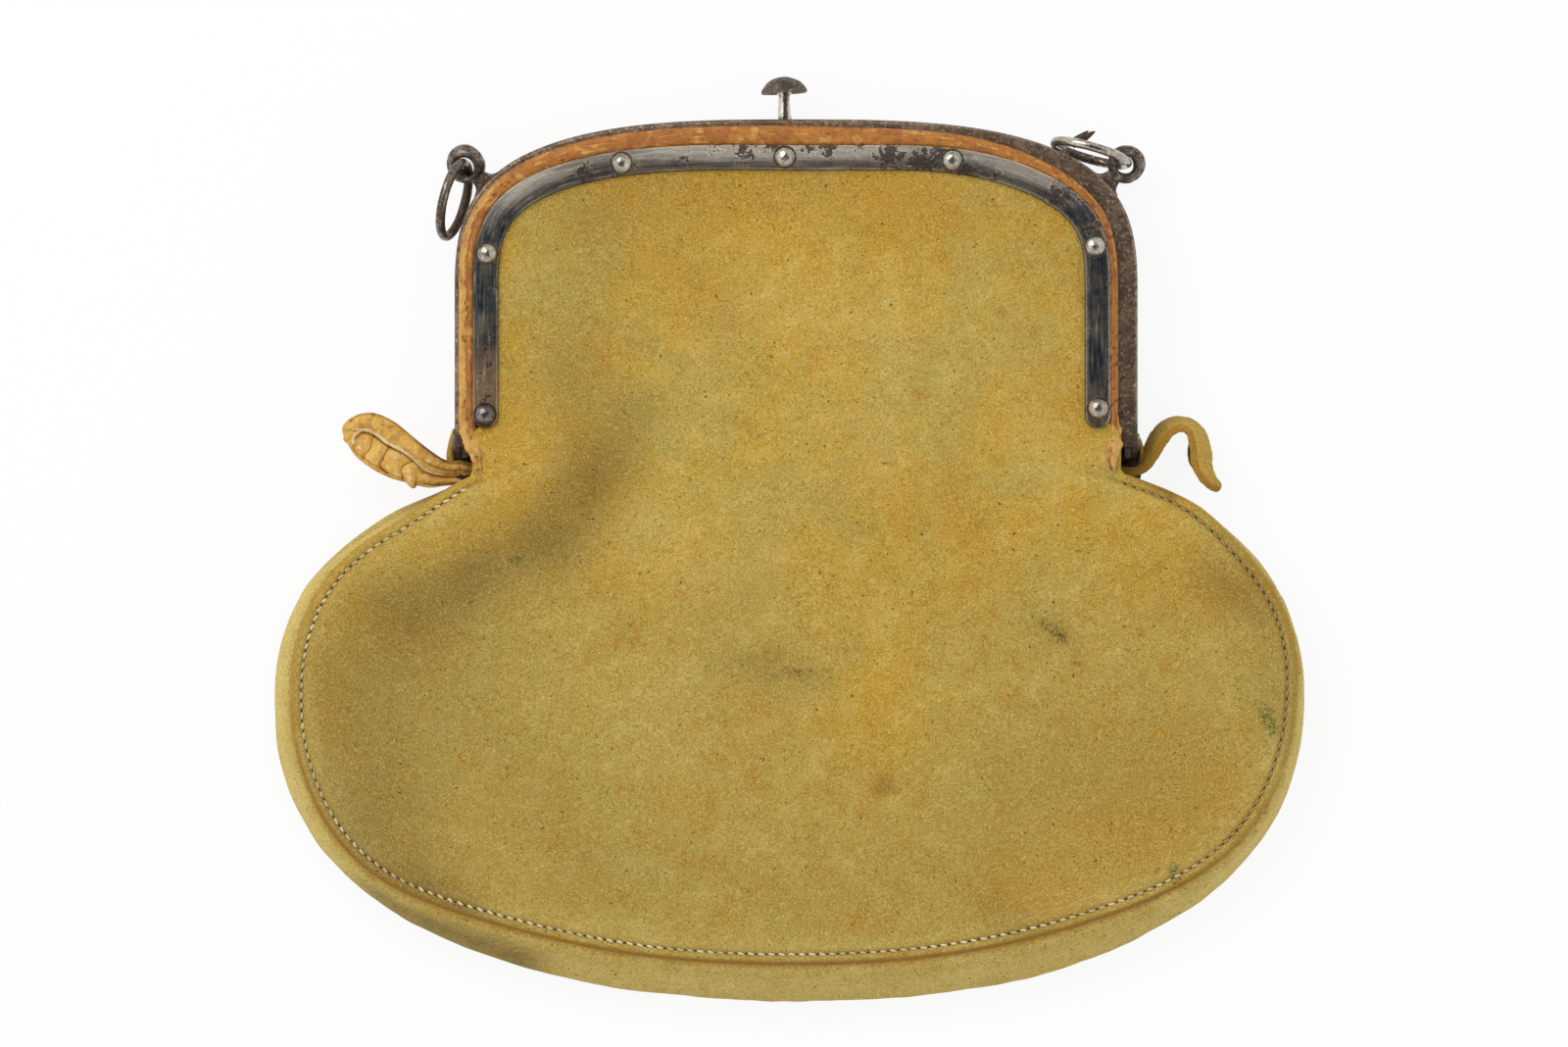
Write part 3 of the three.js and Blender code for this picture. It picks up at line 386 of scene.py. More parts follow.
@dataclass(frozen=True, kw_only=True)
class HideFinish(Finish):
    """Smooth tanned leather with random scuffs; the pale tag paints highlights on high places and pale wear,
    the crease tag paints shade in creases and dark marks.
    """

    base: Colour
    deep: Colour
    pale: Colour
    crease: Colour
    gloss: float = 0.52
    streaked: bool = False

    def shader(self, r: Recipe, at: Socket) -> bpy.types.Node:
        """Leather with streaks along a rolled piece, or scuffs all over a flat one."""
        cloud = r.mottle(at, 4.0, 5.0)
        grain = r.mottle(at, 0.55, 3.0)
        scuff = r.strokes(0.16, 1.5) if self.streaked else r.mottle(at, 1.7, 5.0)
        # worn: painted highlight where the pale tag marks lit high places, with some pale wear, plus random
        # scuffs.
        worn = r.tag("pale") * (0.35 + scuff * 1.1) + scuff.step(0.54, 0.68) * 0.75
        # dark: painted shade where the crease tag marks creases, with some dark marks, plus random dark
        # scuffs.
        dark = r.tag("crease") * (0.55 + cloud * 0.8) + scuff.step(0.42, 0.28) * 0.7
        colour = r.layered(
            self.deep,
            (cloud.step(0.35, 0.66), self.base),
            (worn.step(0.1, 1.0), self.pale),
            (dark.step(0.05, 1.0) * 0.92, self.crease),
        )
        sockets = {
            "Base Color": r.mix(1.0, colour, 0.56 + grain * 0.88, "MULTIPLY"),
            "Roughness": self.gloss + grain * 0.25,
            "Specular IOR Level": 0.35,
            "Normal": r.bump(grain * 0.5 + scuff * 0.5, 0.3),
        }
        return r.principled(sockets)


@dataclass(frozen=True, kw_only=True)
class SteelFinish(Finish):
    """Old steel: a brushed skin, painted highlights on its edges and blotches of dark rust."""

    dark: Colour
    light: Colour
    bright: Colour = (0.64, 0.59, 0.5)
    brown: Colour = (0.44, 0.285, 0.165)
    rust: Colour = (0.11, 0.062, 0.036)
    black: Colour = (0.03, 0.019, 0.013)
    gloss: float = 0.3
    rusted: float = 0.35
    pitted: float = 0.08
    brushed: bool = False

    def shader(self, r: Recipe, at: Socket) -> bpy.types.Node:
        """Bare metal, with fine lines along it where it is brushed, under patches of crust."""
        cloud = r.mottle(at, 6.0, 5.0)
        blotch = r.mottle(at, 1.9, 9.0, 0.74)
        pit = r.mottle(at, 0.6, 3.0)
        lines = r.strokes(0.1, 1.4) if self.brushed else r.mottle(at, 0.9, 4.0)
        # Silver: bright bare steel, worn on the ring, and on the band partly a painted reflection.
        silver = r.tag("silver") * (0.3 + lines * 0.7 + blotch * 0.6)
        # Painted highlight: worn here lightens the metal to bright where a piece marks its lit rims, bevels
        # and edges.
        worn = r.tag("shine") * (0.4 + pit)
        colour = r.layered(
            self.dark,
            ((cloud * 0.6 + lines * 0.4).step(0.38, 0.62), self.light),
            (lines.step(0.48, 0.3) * 0.65, self.dark),
            (r.tag("brown") * (0.2 + blotch * 1.3), self.brown),
            (silver.step(0.2, 0.95), self.bright),
            (lines.step(0.56, 0.7) * 0.45, self.bright),
            (worn.step(0.2, 0.9), self.bright),
            (pit.step(0.38, 0.28) * 0.8, self.black),
        )
        limit = 0.86 - self.rusted * 0.5
        stained = (r.tag("rust") * 0.3 + blotch).step(limit, limit + 0.04)
        scale = r.mix(pit.step(0.4, 0.62), self.black, self.rust)
        normal = r.bump(pit * 0.6 - stained * 0.4 + lines * 0.4, self.pitted)
        metal = {"Base Color": colour, "Metallic": 1.0, "Roughness": self.gloss + lines * 0.14}
        crust = {"Base Color": scale, "Roughness": 0.7, "Specular IOR Level": 0.25}
        bare, rusty = (r.principled({**kind, "Normal": normal}).outputs[0] for kind in (metal, crust))
        return r.node("ShaderNodeMixShader", None, {0: stained * 0.88, 1: bare, 2: rusty})


@dataclass(frozen=True, kw_only=True)
class ThreadFinish(Finish):
    """Waxed cream thread, dulled in places."""

    name: str = "cream_thread"
    base: Colour = (0.76, 0.66, 0.42)
    dull: Colour = (0.36, 0.26, 0.1)

    def shader(self, r: Recipe, at: Socket) -> bpy.types.Node:
        """Thread with the fine bands of its plies."""
        ply = r.mottle(at, 0.28, 1.0)
        worn = r.mottle(at, 11.0, 3.0).step(0.58, 0.42) * 0.55 + r.tag("dull")
        colour = r.mix(1.0, r.mix(worn, self.base, self.dull), 0.78 + ply * 0.44, "MULTIPLY")
        return r.principled({"Base Color": colour, "Roughness": 0.8, "Normal": r.bump(ply, 0.08)})


@dataclass(frozen=True, kw_only=True)
class HoleFinish(Finish):
    """Near black paint for the shade inside a needle hole."""

    name: str = "needle_hole"
    deep: Colour = (0.03, 0.018, 0.007)
    brown: Colour = (0.085, 0.05, 0.016)

    def shader(self, r: Recipe, at: Socket) -> bpy.types.Node:
        """Near black, a little browner in places."""
        colour = r.mix(r.mottle(at, 2.0), self.deep, self.brown)
        return r.principled({"Base Color": colour, "Roughness": 0.95})


SUEDE = SuedeFinish()
THREAD = ThreadFinish()
NEEDLE_HOLE = HoleFinish()
PIPING_HIDE = HideFinish(
    name="piping_hide", base=(0.48, 0.188, 0.028), deep=(0.36, 0.12, 0.022),
    pale=(0.66, 0.375, 0.095), crease=(0.15, 0.048, 0.016), streaked=True,
)
TAB_HIDE = HideFinish(
    name="tab_hide", base=(0.84, 0.51, 0.115), deep=(0.7, 0.37, 0.066),
    pale=(0.88, 0.66, 0.28), crease=(0.22, 0.08, 0.014),
)
TAB_CORD = HideFinish(
    name="tab_cord", base=(0.82, 0.64, 0.32), deep=(0.7, 0.48, 0.18),
    pale=(0.92, 0.8, 0.5), crease=(0.34, 0.16, 0.05),
)
# Dark lining leather; the corner pleats wear it fully creased as painted shadow.
LINING_HIDE = HideFinish(
    name="dark_lining", base=(0.17, 0.085, 0.03), deep=(0.09, 0.045, 0.018),
    pale=(0.3, 0.18, 0.07), crease=(0.03, 0.015, 0.008),
)
RIM_STEEL = SteelFinish(
    name="brown_steel", dark=(0.12, 0.084, 0.057), light=(0.28, 0.192, 0.124),
    rust=(0.085, 0.048, 0.028), black=(0.026, 0.017, 0.012), gloss=0.38, rusted=0.4, pitted=0.12,
)
BAND_STEEL = SteelFinish(
    name="blued_steel", dark=(0.04, 0.06, 0.082), light=(0.235, 0.206, 0.165),
    bright=(0.84, 0.76, 0.63), rust=(0.062, 0.036, 0.024), black=(0.016, 0.011, 0.009),
    gloss=0.24, pitted=0.09, brushed=True,
)
BRIGHT_STEEL = SteelFinish(
    name="bright_steel", dark=(0.27, 0.24, 0.195), light=(0.54, 0.5, 0.43),
    bright=(0.74, 0.71, 0.64), gloss=0.09, rusted=0.28, pitted=0.05,
)
STEM_STEEL = SteelFinish(
    name="stem_steel", dark=(0.2, 0.165, 0.125), light=(0.58, 0.53, 0.44),
    bright=(0.72, 0.68, 0.6), gloss=0.14, rusted=0.4, pitted=0.06,
)
RING_STEEL = SteelFinish(
    name="dark_ring_steel", dark=(0.085, 0.064, 0.05), light=(0.22, 0.18, 0.148),
    bright=(0.56, 0.51, 0.45), gloss=0.2, rusted=0.46, pitted=0.14,
)
DARK_RIVET_STEEL = SteelFinish(
    name="dark_rivet_steel", dark=(0.12, 0.095, 0.085), light=(0.24, 0.2, 0.18),
    gloss=0.16, rusted=0.3, pitted=0.05,
)
DULL_STEEL = SteelFinish(
    name="dull_steel", dark=(0.115, 0.088, 0.068), light=(0.27, 0.222, 0.18),
    gloss=0.28, rusted=0.48, pitted=0.12,
)
DARK_IRON = SteelFinish(
    name="dark_iron", dark=(0.08, 0.06, 0.046), light=(0.19, 0.15, 0.118),
    gloss=0.5, rusted=0.44, pitted=0.34,
)
HIDDEN_STEEL = SteelFinish(
    name="inside_steel", dark=(0.2, 0.17, 0.14), light=(0.36, 0.32, 0.28), place=Place.SOLID,
)


# Meshes


@dataclass
class Skin:
    """Points and faces of one or more closed skins, with values kept at the points."""

    points: Array
    faces: list[tuple[int, ...]]
    tags: dict[str, Array] = field(default_factory=dict)

    @classmethod
    def of_grid(cls, grid: Array, ring: bool = False, **tags: Any) -> "Skin":
        """Covers a grid of points, whose columns run round a form, with four-sided faces.

        Args:
            grid: points as rows by columns by three.
            ring: join the last row to the first. Otherwise a face closes each end.
            tags: values at the points, as rows by columns or what spreads to that.

        Returns:
            The skin, turned so that its faces look outwards.
        """
        rows, cols = grid.shape[:2]
        index = np.arange(rows * cols).reshape(rows, cols)
        near = index if ring else index[:-1]
        far = np.roll(index, -1, axis=0) if ring else index[1:]
        quads = np.stack([near, np.roll(near, -1, axis=1), np.roll(far, -1, axis=1), far], axis=-1)
        faces = [tuple(quad) for quad in quads.reshape(-1, 4).tolist()]
        if not ring:
            faces.append(tuple(index[0, ::-1].tolist()))
            faces.append(tuple(index[-1].tolist()))
        flat_tags = {name: np.broadcast_to(tag, (rows, cols)).reshape(-1) for name, tag in tags.items()}
        return cls(grid.reshape(-1, 3).astype(float), faces, flat_tags).turned_out()

    @classmethod
    def joined(cls, skins: Sequence["Skin"]) -> "Skin":
        """Puts several skins together as one.

        Args:
            skins: the skins. A tag that one of them lacks is 0 there.

        Returns:
            The joined skin.
        """
        names = {name for skin in skins for name in skin.tags}
        faces: list[tuple[int, ...]] = []
        start = 0
        for skin in skins:
            faces.extend(tuple(i + start for i in face) for face in skin.faces)
            start += len(skin.points)
        tags = {
            name: np.concatenate([skin.tags.get(name, np.zeros(len(skin.points))) for skin in skins])
            for name in names
        }
        return cls(np.concatenate([skin.points for skin in skins]), faces, tags)

    def volume(self) -> float:
        """The volume that the skin encloses, below zero where its faces look inwards."""
        triangles = [(face[0], face[k], face[k + 1]) for face in self.faces for k in range(1, len(face) - 1)]
        a, b, c = (self.points[np.array(triangles)[:, k]] for k in range(3))
        return float(np.einsum("ij,ij->i", a, np.cross(b, c)).sum() / 6)

    def turned_out(self) -> "Skin":
        """The same skin with its faces looking outwards."""
        if self.volume() < 0:
            self.faces = [face[::-1] for face in self.faces]
        return self


def smooth(value: Any, low: Any, high: Any) -> Array:
    """Rises smoothly from 0 at low to 1 at high, or falls where low is the larger."""
    share = np.clip((np.asarray(value, float) - low) / (high - low), 0.0, 1.0)
    return share * share * (3.0 - 2.0 * share)


def bell(distance: Any, width: float) -> Array:
    """A soft hump: 1 at no distance, fading over about a width."""
    return np.exp(-((np.asarray(distance, float) / width) ** 2))


def wobble(points: Array, size: float, seed: float) -> Array:
    """Smooth noise at points.

    Args:
        points: an array whose last axis is x, y, z.
        size: about how far apart the swells are.
        seed: a shift that gives another pattern.

    Returns:
        Values from -1 to 1, one for each point.
    """
    shift = Vector((seed, 0.37 * seed, -0.61 * seed))
    flat = [noise.noise(Vector(point) / size + shift) for point in points.reshape(-1, 3)]
    return np.array(flat).reshape(points.shape[:-1])


def points_of(x: Any, y: Any, z: Any) -> Array:
    """Points from their three coordinates, each of which spreads to the shape of the others."""
    return np.stack(np.broadcast_arrays(x, y, z), axis=-1)


def unit(vectors: Array) -> Array:
    """Vectors cut or stretched to a length of one."""
    return vectors / np.linalg.norm(vectors, axis=-1, keepdims=True)


def round_turn(count: int) -> Array:
    """Even angles once round, without the last, which is the first again."""
    return np.linspace(0, 2 * np.pi, count, endpoint=False)


def blunted(wave: Array, power: float) -> Array:
    """A wave from -1 to 1 with broader tops, which squares a round section."""
    return np.sign(wave) * np.abs(wave) ** power


def put(name: str, data: Any) -> bpy.types.Object:
    """Adds an object to the scene.

    Args:
        name: its name.
        data: its mesh, camera or lamp.

    Returns:
        The object.
    """
    item = bpy.data.objects.new(name, data)
    bpy.context.scene.collection.objects.link(item)
    return item


def run_along(points: Array) -> Array:
    """The distance run at each point of a line, from its first."""
    return np.concatenate([[0], np.cumsum(np.linalg.norm(np.diff(points, axis=0), axis=1))])


def turned(
    profile: Sequence[tuple[float, float]],
    sides: int,
    origin: Sequence[float],
    axis: Sequence[float],
    squeeze: float = 1.0,
) -> Array:
    """A turned form as a grid of points.

    Args:
        profile: radius and height pairs from one end to the other.
        sides: points round the axis.
        origin: where the height is zero.
        axis: the way that the height runs.
        squeeze: how much narrower it is along its second cross direction.

    Returns:
        The grid, one row for each profile pair.
    """
    up = unit(np.asarray(axis, float))
    first = unit(np.cross(up, (0.0, 0.0, 1.0) if abs(up[2]) < 0.9 else (0.0, 1.0, 0.0)))
    second = np.cross(up, first) * squeeze
    angle = round_turn(sides)
    round_it = np.cos(angle)[:, None] * first + np.sin(angle)[:, None] * second
    radius, height = np.array(profile).T[..., None, None]
    return np.asarray(origin, float) + radius * round_it + height * up


def spline(route: Array, count: int) -> tuple[Array, Array]:
    """An even walk along a smooth curve through points.

    Args:
        route: the points that the curve passes.
        count: how many places to give.

    Returns:
        The places and the directions of travel there.
    """
    padded = np.concatenate([[2 * route[0] - route[1]], route, [2 * route[-1] - route[-2]]])
    share = np.linspace(0, 1, 40, endpoint=False)[:, None]
    runs = []
    for a, b, c, d in zip(padded, padded[1:], padded[2:], padded[3:]):
        bend = (2 * a - 5 * b + 4 * c - d) * share**2 + (3 * b - a - 3 * c + d) * share**3
        runs.append(0.5 * (2 * b + (c - a) * share + bend))
    dense = np.concatenate([*runs, route[-1:]])
    run = run_along(dense)
    even = np.linspace(0, run[-1], count)
    places = np.stack([np.interp(even, run, dense[:, k]) for k in range(3)], axis=-1)
    return places, unit(np.gradient(places, axis=0))


def tube(path: Array, radius: float | Array, sides: int, closed: bool = False) -> Array:
    """A grid of points round a path, for a wire or a thread.

    Args:
        path: the middle line.
        radius: one radius, or one for each point of the path.
        sides: points round the path.
        closed: the path is a ring.

    Returns:
        The grid, one row for each point of the path.
    """
    along = np.roll(path, -1, 0) - np.roll(path, 1, 0) if closed else np.gradient(path, axis=0)
    along = unit(along)
    guess = (0.0, 0.0, 1.0) if np.abs(along[:, 2]).max() < 0.95 else (0.31, 0.92, 0.24)
    first = unit(np.cross(along, guess))
    second = np.cross(along, first)
    angle = round_turn(sides)
    ring = np.cos(angle)[:, None] * first[:, None] + np.sin(angle)[:, None] * second[:, None]
    return path[:, None] + np.broadcast_to(radius, len(path))[:, None, None] * ring


@dataclass
class Bench:
    """Turns skins into pieces of the scene, in the frame's metres."""

    hinge_y: float
    materials: dict[str, bpy.types.Material] = field(default_factory=dict)

    def material(self, finish: Finish) -> bpy.types.Material:
        """The material of a finish, made the first time that it is asked for.

        Args:
            finish: the finish.

        Returns:
            Its one material.
        """
        if finish.name not in self.materials:
            self.materials[finish.name] = finish.make()
        return self.materials[finish.name]

    def lay(
        self,
        name: str,
        skin: Skin,
        finish: Finish,
        body: Ride,
        slot: str,
        replaces: Sequence[str] = (),
        crease: float = 42.0,
    ) -> None:
        """Makes a piece and fits it to the frame.

        Args:
            name: the piece's name.
            skin: its mesh.
            finish: its finish.
            body: the body that it rides on, or two bodies and two heights, in which
            case the piece is baked in place and not attached to either.
            slot: the record's material slot. Not used.
            replaces: the solids that it stands for.
            crease: edges sharper than this many degrees stay sharp.
        """
        mesh = bpy.data.meshes.new(name)
        world = (skin.points + (0.0, self.hinge_y / MM, 0.0)) * MM
        mesh.from_pydata(world.tolist(), [], skin.faces)
        rest = mesh.attributes.new("rest", "FLOAT_VECTOR", "POINT")
        rest.data.foreach_set("vector", skin.points.astype(np.float32).reshape(-1))
        for tag, values in skin.tags.items():
            kept = mesh.attributes.new(tag, "FLOAT", "POINT")
            kept.data.foreach_set("value", np.asarray(values, np.float32))
        mesh.shade_smooth()
        mesh.set_sharp_from_angle(angle=math.radians(crease))
        mesh.materials.append(self.material(finish))
        piece = put(name, mesh)
        if isinstance(body, str):
            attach(piece, body)
        else:
            low, high, *heights = body
            start, end = ((0.0, self.hinge_y + height * MM, 0.0) for height in heights)
            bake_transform(piece)
        if replaces:
            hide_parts(*replaces)
        LOG.info("made %s with %d points", name, len(skin.points))

    def middle(self, node: str) -> Array:
        """The middle of a solid's box, in millimetres about the hinge."""
        low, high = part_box(node)
        return np.array((low + high) / 2) / MM - (0.0, self.hinge_y / MM, 0.0)


class Assembly:
    """A sub-assembly of the pouch, which makes its own pieces."""

    def dress(self, bench: Bench) -> None:
        """Makes the pieces.

        Args:
            bench: turns skins into pieces and fits them to the frame.
        """
        raise NotImplementedError


# The lines that the pouch is set out on


@dataclass(frozen=True)
class Trace:
    """Stations along the frame: places, outward directions and the distance run."""

    x: Array
    y: Array
    out_x: Array
    out_y: Array
    run: Array

    def at(self, runs: Array) -> "Trace":
        """The stations at other distances along the same line."""
        kept = (self.x, self.y, self.out_x, self.out_y)
        return Trace(*(np.interp(runs, self.run, part) for part in kept), runs)

    def sections(self, inset: Array, height: Array) -> Array:
        """Sets flat sections on the line.

        Args:
            inset: how far in from the line each point of each section is.
            height: how high above the table it is.

        Returns:
            A grid of points, one row for each station.
        """
        x = self.x[:, None] - self.out_x[:, None] * inset
        y = self.y[:, None] - self.out_y[:, None] * inset
        return points_of(x, y, height)


def squircle(angle: Array, half_width: float, half_height: float, n: float) -> tuple[Array, Array]:
    """Places on a rounded outline, about its middle.

    Args:
        angle: the angles at which they are seen from the middle.
        half_width: the outline's half width.
        half_height: its half height.
        n: how square it is: 2 is an ellipse.

    Returns:
        x and y.
    """
    x, y = np.cos(angle), np.sin(angle)
    reach = (np.abs(x / half_width) ** n + np.abs(y / half_height) ** n) ** (-1 / n)
    return reach * x, reach * y


@dataclass(frozen=True)
class Arch:
    """The outer line of the two bows: straight legs under a rounded crown."""

    half_width: float = 87.25
    leg: float = 38.0
    crown: float = 44.0
    roundness: float = 3.0

    def crown_at(self, angle: Array) -> tuple[Array, Array, Array, Array]:
        """Stations on the crown.

        Args:
            angle: their angles about the middle of the line between the legs' tops.

        Returns:
            x and y, and the outward direction's x and y.
        """
        n = self.roundness
        x, y = squircle(angle, self.half_width, self.crown, n)
        out_x = np.sign(x) * np.abs(x / self.half_width) ** (n - 1) / self.half_width
        out_y = np.abs(y / self.crown) ** (n - 1) / self.crown
        length = np.hypot(out_x, out_y)
        return x, y + self.leg, out_x / length, out_y / length

    def line(self, foot: float) -> Trace:
        """The whole line at close stations.

        Args:
            foot: the height of the legs' feet.

        Returns:
            The stations, from the left leg's foot to the right leg's.
        """
        x, y, out_x, out_y = self.crown_at(np.linspace(np.pi, 0, 1600))
        climb = np.linspace(foot, self.leg, 300)[:-1]
        still = np.ones_like(climb)
        x = np.concatenate([-self.half_width * still, x, self.half_width * still])
        y = np.concatenate([climb, y, climb[::-1]])
        out_x = np.concatenate([-still, out_x, still])
        out_y = np.concatenate([0 * still, out_y, 0 * still])
        run = run_along(np.stack([x, y], -1))
        return Trace(x, y, out_x, out_y, run)

    def even(self, foot: float, count: int) -> Trace:
        """The line at evenly spaced stations."""
        line = self.line(foot)
        return line.at(np.linspace(0, line.run[-1], count))


@dataclass(frozen=True)
class Edge:
    """The rounded edge of a panel, which passes the bows' outer face below the hinge."""

    half_width: float
    drop: float
    foot: float
    roundness: float = 2.2
    arch: Arch = Arch()

    @property
    def top(self) -> float:
        """Where the edge's curve would close behind the frame."""
        n = self.roundness
        climb = (1 - (self.arch.half_width / self.half_width) ** n) ** (1 / n)
        return (-2 * self.drop - self.foot * (1 - climb)) / (1 + climb)

    @property
    def half_height(self) -> float:
        """Half the height of the curve."""
        return (self.top - self.foot) / 2

    @property
    def centre(self) -> float:
        """The height of the curve's middle."""
        return (self.top + self.foot) / 2

    def fullness(self, x: Array, y: Array) -> Array:
        """0 at the curve's middle and 1 on the curve."""
        across, upright = np.abs(x / self.half_width), np.abs((y - self.centre) / self.half_height)
        return (across**self.roundness + upright**self.roundness) ** (1 / self.roundness)

    def gap(self, x: Array, y: Array) -> Array:
        """About how far inside the edge places are.

        Args:
            x: how far right they are.
            y: how far up they are.

        Returns:
            The distances.
        """
        step = 0.05
        here = self.fullness(x, y)
        slope_x = (self.fullness(x + step, y) - self.fullness(x - step, y)) / (2 * step)
        slope_y = (self.fullness(x, y + step) - self.fullness(x, y - step)) / (2 * step)
        return (1 - here) / np.maximum(np.hypot(slope_x, slope_y), 1e-4)

    def point(self, angle: Array) -> Array:
        """Places on the edge at angles about its own middle."""
        x, y = squircle(angle, self.half_width, self.half_height, self.roundness)
        return np.stack([x, y + self.centre], -1)

    def outward(self, angle: Array) -> Array:
        """The way out of the edge at angles about its own middle."""
        along = unit(self.point(angle + SMALL_TURN) - self.point(angle - SMALL_TURN))
        return np.stack([along[..., 1], -along[..., 0]], axis=-1)

    def angle_where(self, x: float) -> float:
        """The angle above the middle at which the edge's right side passes x."""
        angles = np.linspace(0, np.pi / 2, 4000)
        return float(np.interp(-x, -self.point(angles)[:, 0], angles))

    def walk(self, end_x: float, spacing: float) -> Array:
        """Angles at an even spacing from one end, round the foot, to the other end.

        Args:
            end_x: how far from the middle the walk starts and ends.
            spacing: the distance between places.

        Returns:
            The angles, from the right end to the left.
        """
        end = self.angle_where(end_x)
        dense = np.linspace(end, -np.pi - end, 6000)
        run = run_along(self.point(dense))
        count = int(run[-1] / spacing) + 1
        return np.interp(np.linspace(0, run[-1], count), run, dense)


ARCH = Arch()
FRONT_EDGE = Edge(half_width=127.25, drop=9.9, foot=-132.75)
BACK_EDGE = Edge(half_width=128.5, drop=9.3, foot=-139.0)


@dataclass(frozen=True)
class Outline:
    """A panel's whole outline: its rounded edge, with the arch of the frame on top."""

    edge: Edge
    arch: Arch = ARCH
    centre: float = -45.0
    inset: float = 7.8
    corner: float = 3.4

    def holds(self, x: Array, y: Array) -> Array:
        """Whether places are inside the outline.

        Args:
            x: how far right they are.
            y: how far up they are.

        Returns:
            True or False for each.
        """
        half = self.arch.half_width - self.inset
        crown = self.arch.crown - self.inset
        n = self.arch.roundness
        leg_half = half + self.corner * smooth(y, 6.5, 1.5)
        legs = (np.abs(x) <= leg_half) & (y > self.centre) & (y < self.arch.leg)
        rise = np.clip(y - self.arch.leg, 0, None)
        top = (y >= self.arch.leg) & (np.abs(x / half) ** n + (rise / crown) ** n <= 1)
        return (self.edge.fullness(x, y) <= 1) | legs | top

    def reach(self, angle: Array) -> Array:
        """How far the outline is from the centre, found by halving.

        Args:
            angle: the angles to look at.

        Returns:
            The distances.
        """
        low = np.zeros_like(angle)
        high = np.full_like(angle, 400.0)
        for _ in range(40):
            middle = (low + high) / 2
            inside = self.holds(middle * np.cos(angle), self.centre + middle * np.sin(angle))
            low = np.where(inside, middle, low)
            high = np.where(inside, high, middle)
        return low

    def spokes(self, count: int) -> Array:
        """Angles that meet the outline at an even spacing.

        Args:
            count: how many.

        Returns:
            The angles.
        """
        dense = np.linspace(-np.pi, np.pi, 4000)
        reach = self.reach(dense)
        x, y = reach * np.cos(dense), reach * np.sin(dense)
        run = run_along(np.stack([x, y], -1))
        return np.interp(np.linspace(0, run[-1], count, endpoint=False), run, dense)


# The frame


HINGE_BLEND = ("bag", "front_frame", -10.0, 4.0)
RIVET_SHIFTS = {
    "left_foot": (0.0, -1.4), "left_side": (0.0, -1.0), "left_top": (-0.8, 0.0), "centre": (-1.4, 0.0),
    "right_top": (-0.9, 0.0), "right_side": (0.0, 1.2), "right_foot": (0.0, 0.2),
}


@dataclass(frozen=True)
class Streak:
    """A soft mark through one place or more: a streak of dirt, dye or rust, a fold, a painted shade, a
    painted highlight.
    """

    width: float
    depth: float
    path: Profile

    def at(self, x: Array, y: Array) -> Array:
        """How strongly the streak shows at places.

        Args:
            x: the places' distances to the right.
            y: their distances up.

        Returns:
            The streak's depth on its path, fading over its width.
        """
        nearest = np.full(np.shape(x), np.inf)
        for (x0, y0), (x1, y1) in zip(self.path, self.path[1:] or self.path):
            length = max((x1 - x0) ** 2 + (y1 - y0) ** 2, 1e-6)
            share = np.clip(((x - x0) * (x1 - x0) + (y - y0) * (y1 - y0)) / length, 0, 1)
            distance = np.hypot(x - x0 - share * (x1 - x0), y - y0 - share * (y1 - y0))
            nearest = np.minimum(nearest, distance)
        return self.depth * bell(nearest, self.width)


def streaks(*rows: tuple[Any, ...]) -> tuple[Streak, ...]:
    """Streaks from rows of a width, a depth and the places that each passes."""
    return tuple(Streak(width, depth, tuple(path)) for width, depth, *path in rows)


def strongest(marks: Sequence[Streak], x: Array, y: Array) -> Array:
    """How strongly marks show at places, by the strongest of them at each."""
    return np.max([mark.at(x, y) for mark in marks], axis=0)


def together(marks: Sequence[Streak], x: Array, y: Array) -> Array:
    """How strongly marks show at places where they lie over each other, up to 1."""
    return 1 - np.prod([1 - np.clip(mark.at(x, y), 0, 1) for mark in marks], axis=0)


